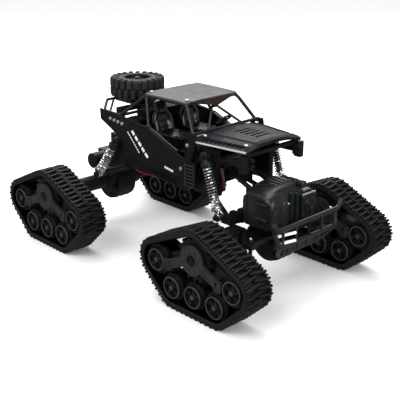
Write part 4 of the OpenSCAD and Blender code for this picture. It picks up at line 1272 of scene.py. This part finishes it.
def motor_case_shape():
    """Front gearbox, long in x: motor end on the right, covers on the left, ribbed top."""
    shape = Shape()
    x = AXLE_X
    # rounded body across the car, drawn in (y, z) and set out along x; the right front top is rounded off
    rings = []
    for px, drop, trim in [(-2.8, 0.8, 0.8), (-2.0, 0, 0), (14.5, 0, 0), (18.5, 1.6, 0), (19.4, 3.2, 0.6)]:
        rings.append(slice_x(x + px, [
            (-28 + trim, GEARBOX_FOOT), (-28 + trim, 86 - drop * 0.5), (-26.6, 88.8 - drop),
            (-23, 91.4 - drop), (-13, 94.4 - drop), (7.0, 95.3 - drop), (8.6, 94.2 - drop), (9.6, 90 - drop),
            (16.6, 88.8 - drop), (17.6, 85 - drop * 0.5), (28.6 - trim, 84), (29 - trim, 83),
            (29 - trim, GEARBOX_FOOT)]))
    shape.add(loft(rings))
    # motor end: flat sides, a rounded top and two shallow lobes on its front face
    rings = []
    for px, top in [(17.5, 91.0), (20.5, 90.2), (23.2, 87.6), (24.8, 84.0), (25.2, 81.0)]:
        rings.append(slice_x(x + px, [
            (-27.9, GEARBOX_FOOT), (-27.9, top - 4.6), (-26.4, top - 2.2), (-22, top), (-10, top),
            (-8.2, top - 1.4), (-8.2, GEARBOX_FOOT)]))
    shape.add(loft(rings))
    for y, r, reach, top in [(-21.5, 5.4, 26.0, 80.5), (-11.5, 4.4, 26.4, 84.5)]:
        lobe = [(r, 62.4), (r, top - 3.0), (r - 0.9, top - 1.0), (r - 2.8, top), (0, top + 0.2)]
        shape.add(lathe(lobe, 30), at(x + reach - r, y, 0))
    # right-hand face: raised border and two screw channels with open front ends
    for x0, z0, x1, z1 in [(-2.6, 62.4, 24.6, 64.0), (-2.6, 86.0, 17.5, 87.4), (-2.6, 62.4, -0.8, 87.4),
                           (23.0, 62.4, 24.8, 84.4)]:
        shape.add(block((x + x0, -28.7, z0), (x + x1, -27.5, z1)))
    for z in (70.0, 83.0):
        channel = at(x + 8.6, -28.3, z) @ turned(90, "Y")
        shape.add(lathe([(0.9, 0.0), (1.7, 0.0), (1.7, 13.0), (0.9, 13.0)], 18, closed=True), channel)
        shape.add(lathe([(0, 0.0), (0.95, 0.0), (0.95, 9.5), (0, 9.5)], 14), channel)
    for k in range(7):
        shape.add(block((x - 5.4, -27.6 + k * 0.9, 63.6), (x - 2.4, -27.1 + k * 0.9, 85.4)))
    # round covers on the left
    shape.add(block((x + 18.6, 11.4, 62.2), (x + 23.6, 28.8, 82.6)))
    for y, z, r in ((20.6, 73.5, 6.0), (24.4, 66.4, 3.0)):
        shape.add(lathe([(r, -0.5), (r, 0.7), (r - 0.4, 1.0), (r - 1.6, 1.0), (r - 1.9, 0.3), (r * 0.4, 0.3),
                         (r * 0.35, 1.0), (0, 1.0)], 32), at(x + 23.6, y, z) @ turned(90, "Y"))
    cover_screw = lathe([(1.3, -1), (1.3, 0.8), (0.9, 1.1), (0, 1.1)], 14)
    for y, z in ((13.0, 80.8), (27.2, 80.8), (13.0, 64.4)):
        shape.add(cover_screw, at(x + 23.6, y, z) @ turned(90, "Y"))
    # top: ribs along the car, a stepped shoulder, and two rollers
    for y, z in ((-10.0, 94.5), (-5.6, 94.8), (-1.2, 95.0), (3.2, 95.2)):
        shape.add(block((x - 1.6, y - 0.6, z - 1.2), (x + 15.0, y + 0.6, z + 0.5)))
    shape.add(block((x - 1.6, 10.0, 88.0), (x + 18.0, 17.0, 89.6)))
    for k in range(5):
        shape.add(block((x + 1 + 3.6 * k, 18.2, 83.4), (x + 2.6 + 3.6 * k, 28.4, 84.6)))
    roller = lathe([(2.4, 0), (3.2, 0.6), (3.2, 3.4), (2.7, 3.8), (2.7, 7.4), (3.2, 7.8), (3.2, 10.8),
                    (2.4, 11.4)], 28)
    for start in (0.0, 12.6):
        shape.add(roller, at(x + start, 13.2, 92) @ turned(90, "Y"))
    shape.add(block((x, -12, 60.9), (x + 12, 12, 62.6)))
    return shape


def gear_column_shape():
    """Uprights of the gear column between the motor end and the covers."""
    shape = Shape()
    shape.add(lathe([(1.7, 62.4), (1.7, 77.0), (2.3, 77.4), (2.3, 79.0), (0, 79.2)], 20),
              at(AXLE_X + 21.0, -3.2, 0))
    for y, top in ((2.4, 87.4), (9.0, 86.0)):
        shape.add(lathe([(2.6, 62.4), (2.6, top - 1), (1.8, top), (0, top)], 22), at(AXLE_X + 19.6, y, 0))
    for z in (66.0, 72.0):
        shape.add(block((AXLE_X + 18.8, -5.6, z), (AXLE_X + 21.8, -0.4, z + 2.4)))
    return shape


def front_screws_shape():
    """Bright screw on top of the gear column."""
    return Shape().join(screw_head(1.7, 1.0), at(AXLE_X + 21.0, -3.2, 79.0))


def bumper_shape():
    """Tube bumper with its skid plate."""
    shape = Shape()
    x = BUMPER_X
    side = Shape()
    side.add(tube(bend([(x, 0, 70.4), (x, -37, 70.4), (x - 1, -42, 76.5)], 3), 2.0, 14))
    side.add(tube(bend([(x, 0, 56), (x, -34.5, 56), (x - 4, -38, 68), (x, -37.6, 70.4)], 3), 1.9, 14))
    side.add(tube(bend([(x - 10, 0, 43), (x - 10, -25.5, 43), (x, -35, 56)], 3), 1.7, 12))
    side.add(tube([(AXLE_X + 25, -22.5, 49), (x, -22.5, 57)], 2.6, 14))
    for y in (0, -16, -32):
        side.add(tube([(x, y, 55), (x, y, 71)], 1.5, 12))
    shape.join(both_sides(side))
    shape.add(block((x - 8, -24, 44), (x - 6.2, 24, 53)))
    for k in range(4):
        y = -18 + k * 12
        shape.add(block((x - 6.4, y - 0.7, 44.5), (x - 5.6, y + 0.7, 52.6)))
    rings = []
    for px, z in [(x - 7.4, 51.4), (x - 0.2, 55.6)]:
        rings.append([(px, -24, z - 0.9), (px, -24, z + 0.9), (px, 24, z + 0.9), (px, 24, z - 0.9)])
    shape.add(loft(rings))
    for z in LAMP_HEIGHTS:
        shape.add(tube([(x - 1, -31.5, z), (x, -31.5, z)], 1.1, 10))
        shape.add(tube([(x, -20, z), (x + 2.4, -20, z)], 1.1, 10))
    return shape


def lamp_shape():
    """Pair of light bars at the right end of the bumper."""
    shape = Shape()
    x = BUMPER_X
    for z in LAMP_HEIGHTS:
        a, b = Vector((x - 1.6, -36, z)), Vector((x + 2.4, -19, z))
        shape.add(tube([a.lerp(b, t) for t in (0, 0.03, 0.97, 1)], 1.2, 14, taper=[0.8, 1.2, 1.2, 0.8]))
    return shape


def gear_case_details():
    """Ribs and cover screws on the gear case of an axle, drawn for the front."""
    shape = Shape()
    x, z = AXLE_X + 6, 44.0
    for y in (-6.6, 0.0, 6.6):
        ring = []
        for k in range(25):
            t = math.radians(-140 + 200 * k / 24)
            ring.append((x + 17.1 * math.cos(t), y, z + 17.1 * math.sin(t)))
        shape.add(tube(ring, 0.8, 8))
    for s in (-1, 1):
        cover = [(15.2, 10.2), (15.2, 11.0), (14.6, 11.4), (10.5, 11.4), (9.5, 12.4), (6.0, 12.4)]
        shape.add(lathe(cover, 44), at(x, 0, z) @ turned(90 * -s, "X"))
        for k in range(6):
            t = math.radians(60 * k + 12)
            shape.add(lathe([(1.3, 11.0), (1.3, 12.2), (0.9, 12.5), (0, 12.5)], 12),
                      at(x + 12.9 * math.cos(t), 0, z + 12.9 * math.sin(t)) @ turned(90 * -s, "X"))
    return shape


def make_axles():
    piece("front_motor_case", motor_case_shape(), "gearbox", "front_axle", ["front_gearbox"],
          0.35)
    piece("front_gear_column", gear_column_shape(), "column", "front_axle", bevel=0.2)
    piece("front_case_screws", front_screws_shape(), "screw", "front_axle")
    for side, y in (("right", -50), ("left", 50)):
        pin = Shape().join(screw_head(1.4, 0.8), at(AXLE_X + 24, y, high(f"knuckle_{side}").z - 0.2))
        piece(f"knuckle_pin_{side}", pin, "screw", f"knuckle_{side}")
    piece("bumper_tubes", bumper_shape(), "bumper", "front_axle", ["front_bumper"], 0.2)
    piece("bumper_light_bars", lamp_shape(), "lamp", "front_axle")
    details = gear_case_details()
    piece("front_gear_case_ribs", details, "axle", "front_axle", bevel=0.15)
    piece("rear_gear_case_ribs", rear(details), "axle", "rear_axle", bevel=0.15)


# ---------- wires ----------

def make_wires():
    """Short leads from the tray: two to the front shock tower, one to the rear and one along the belly."""
    runs = {
        "wire_red": [(40, -20, 84), (52, -24, 84), (64, -26.5, 84), (73.5, -28.5, 86), (74, -30, 94),
                     (72.6, -31, 104)],
        "wire_green": [(40, -17, 84), (54, -22, 82.4), (66, -26.5, 82.6), (75.5, -28.5, 84), (75.8, -30, 93),
                       (74, -31, 104)],
        "wire_red_rear": [(-33, -24, 84), (-38, -31.5, 79.4), (-30, -33.4, 77.6), (-14, -33.4, 77.8),
                          (0, -31.5, 79.4)],
        "wire_black": [(-36, -19, 84), (-42, -24, 84.4), (-48, -27.4, 88), (-58, -28, 91),
                       (-66, -27.6, 89.6)],
    }
    for name, points in runs.items():
        colour = "_".join(name.split("_")[:2])
        piece(name, Shape().add(tube(bend(points, 4), WIRE_RADIUS, 8)), colour, "chassis")


make_camera()
make_stage()
dress_cad_nodes()
make_track_units()
make_body()
make_shocks()
make_axles()
make_wires()
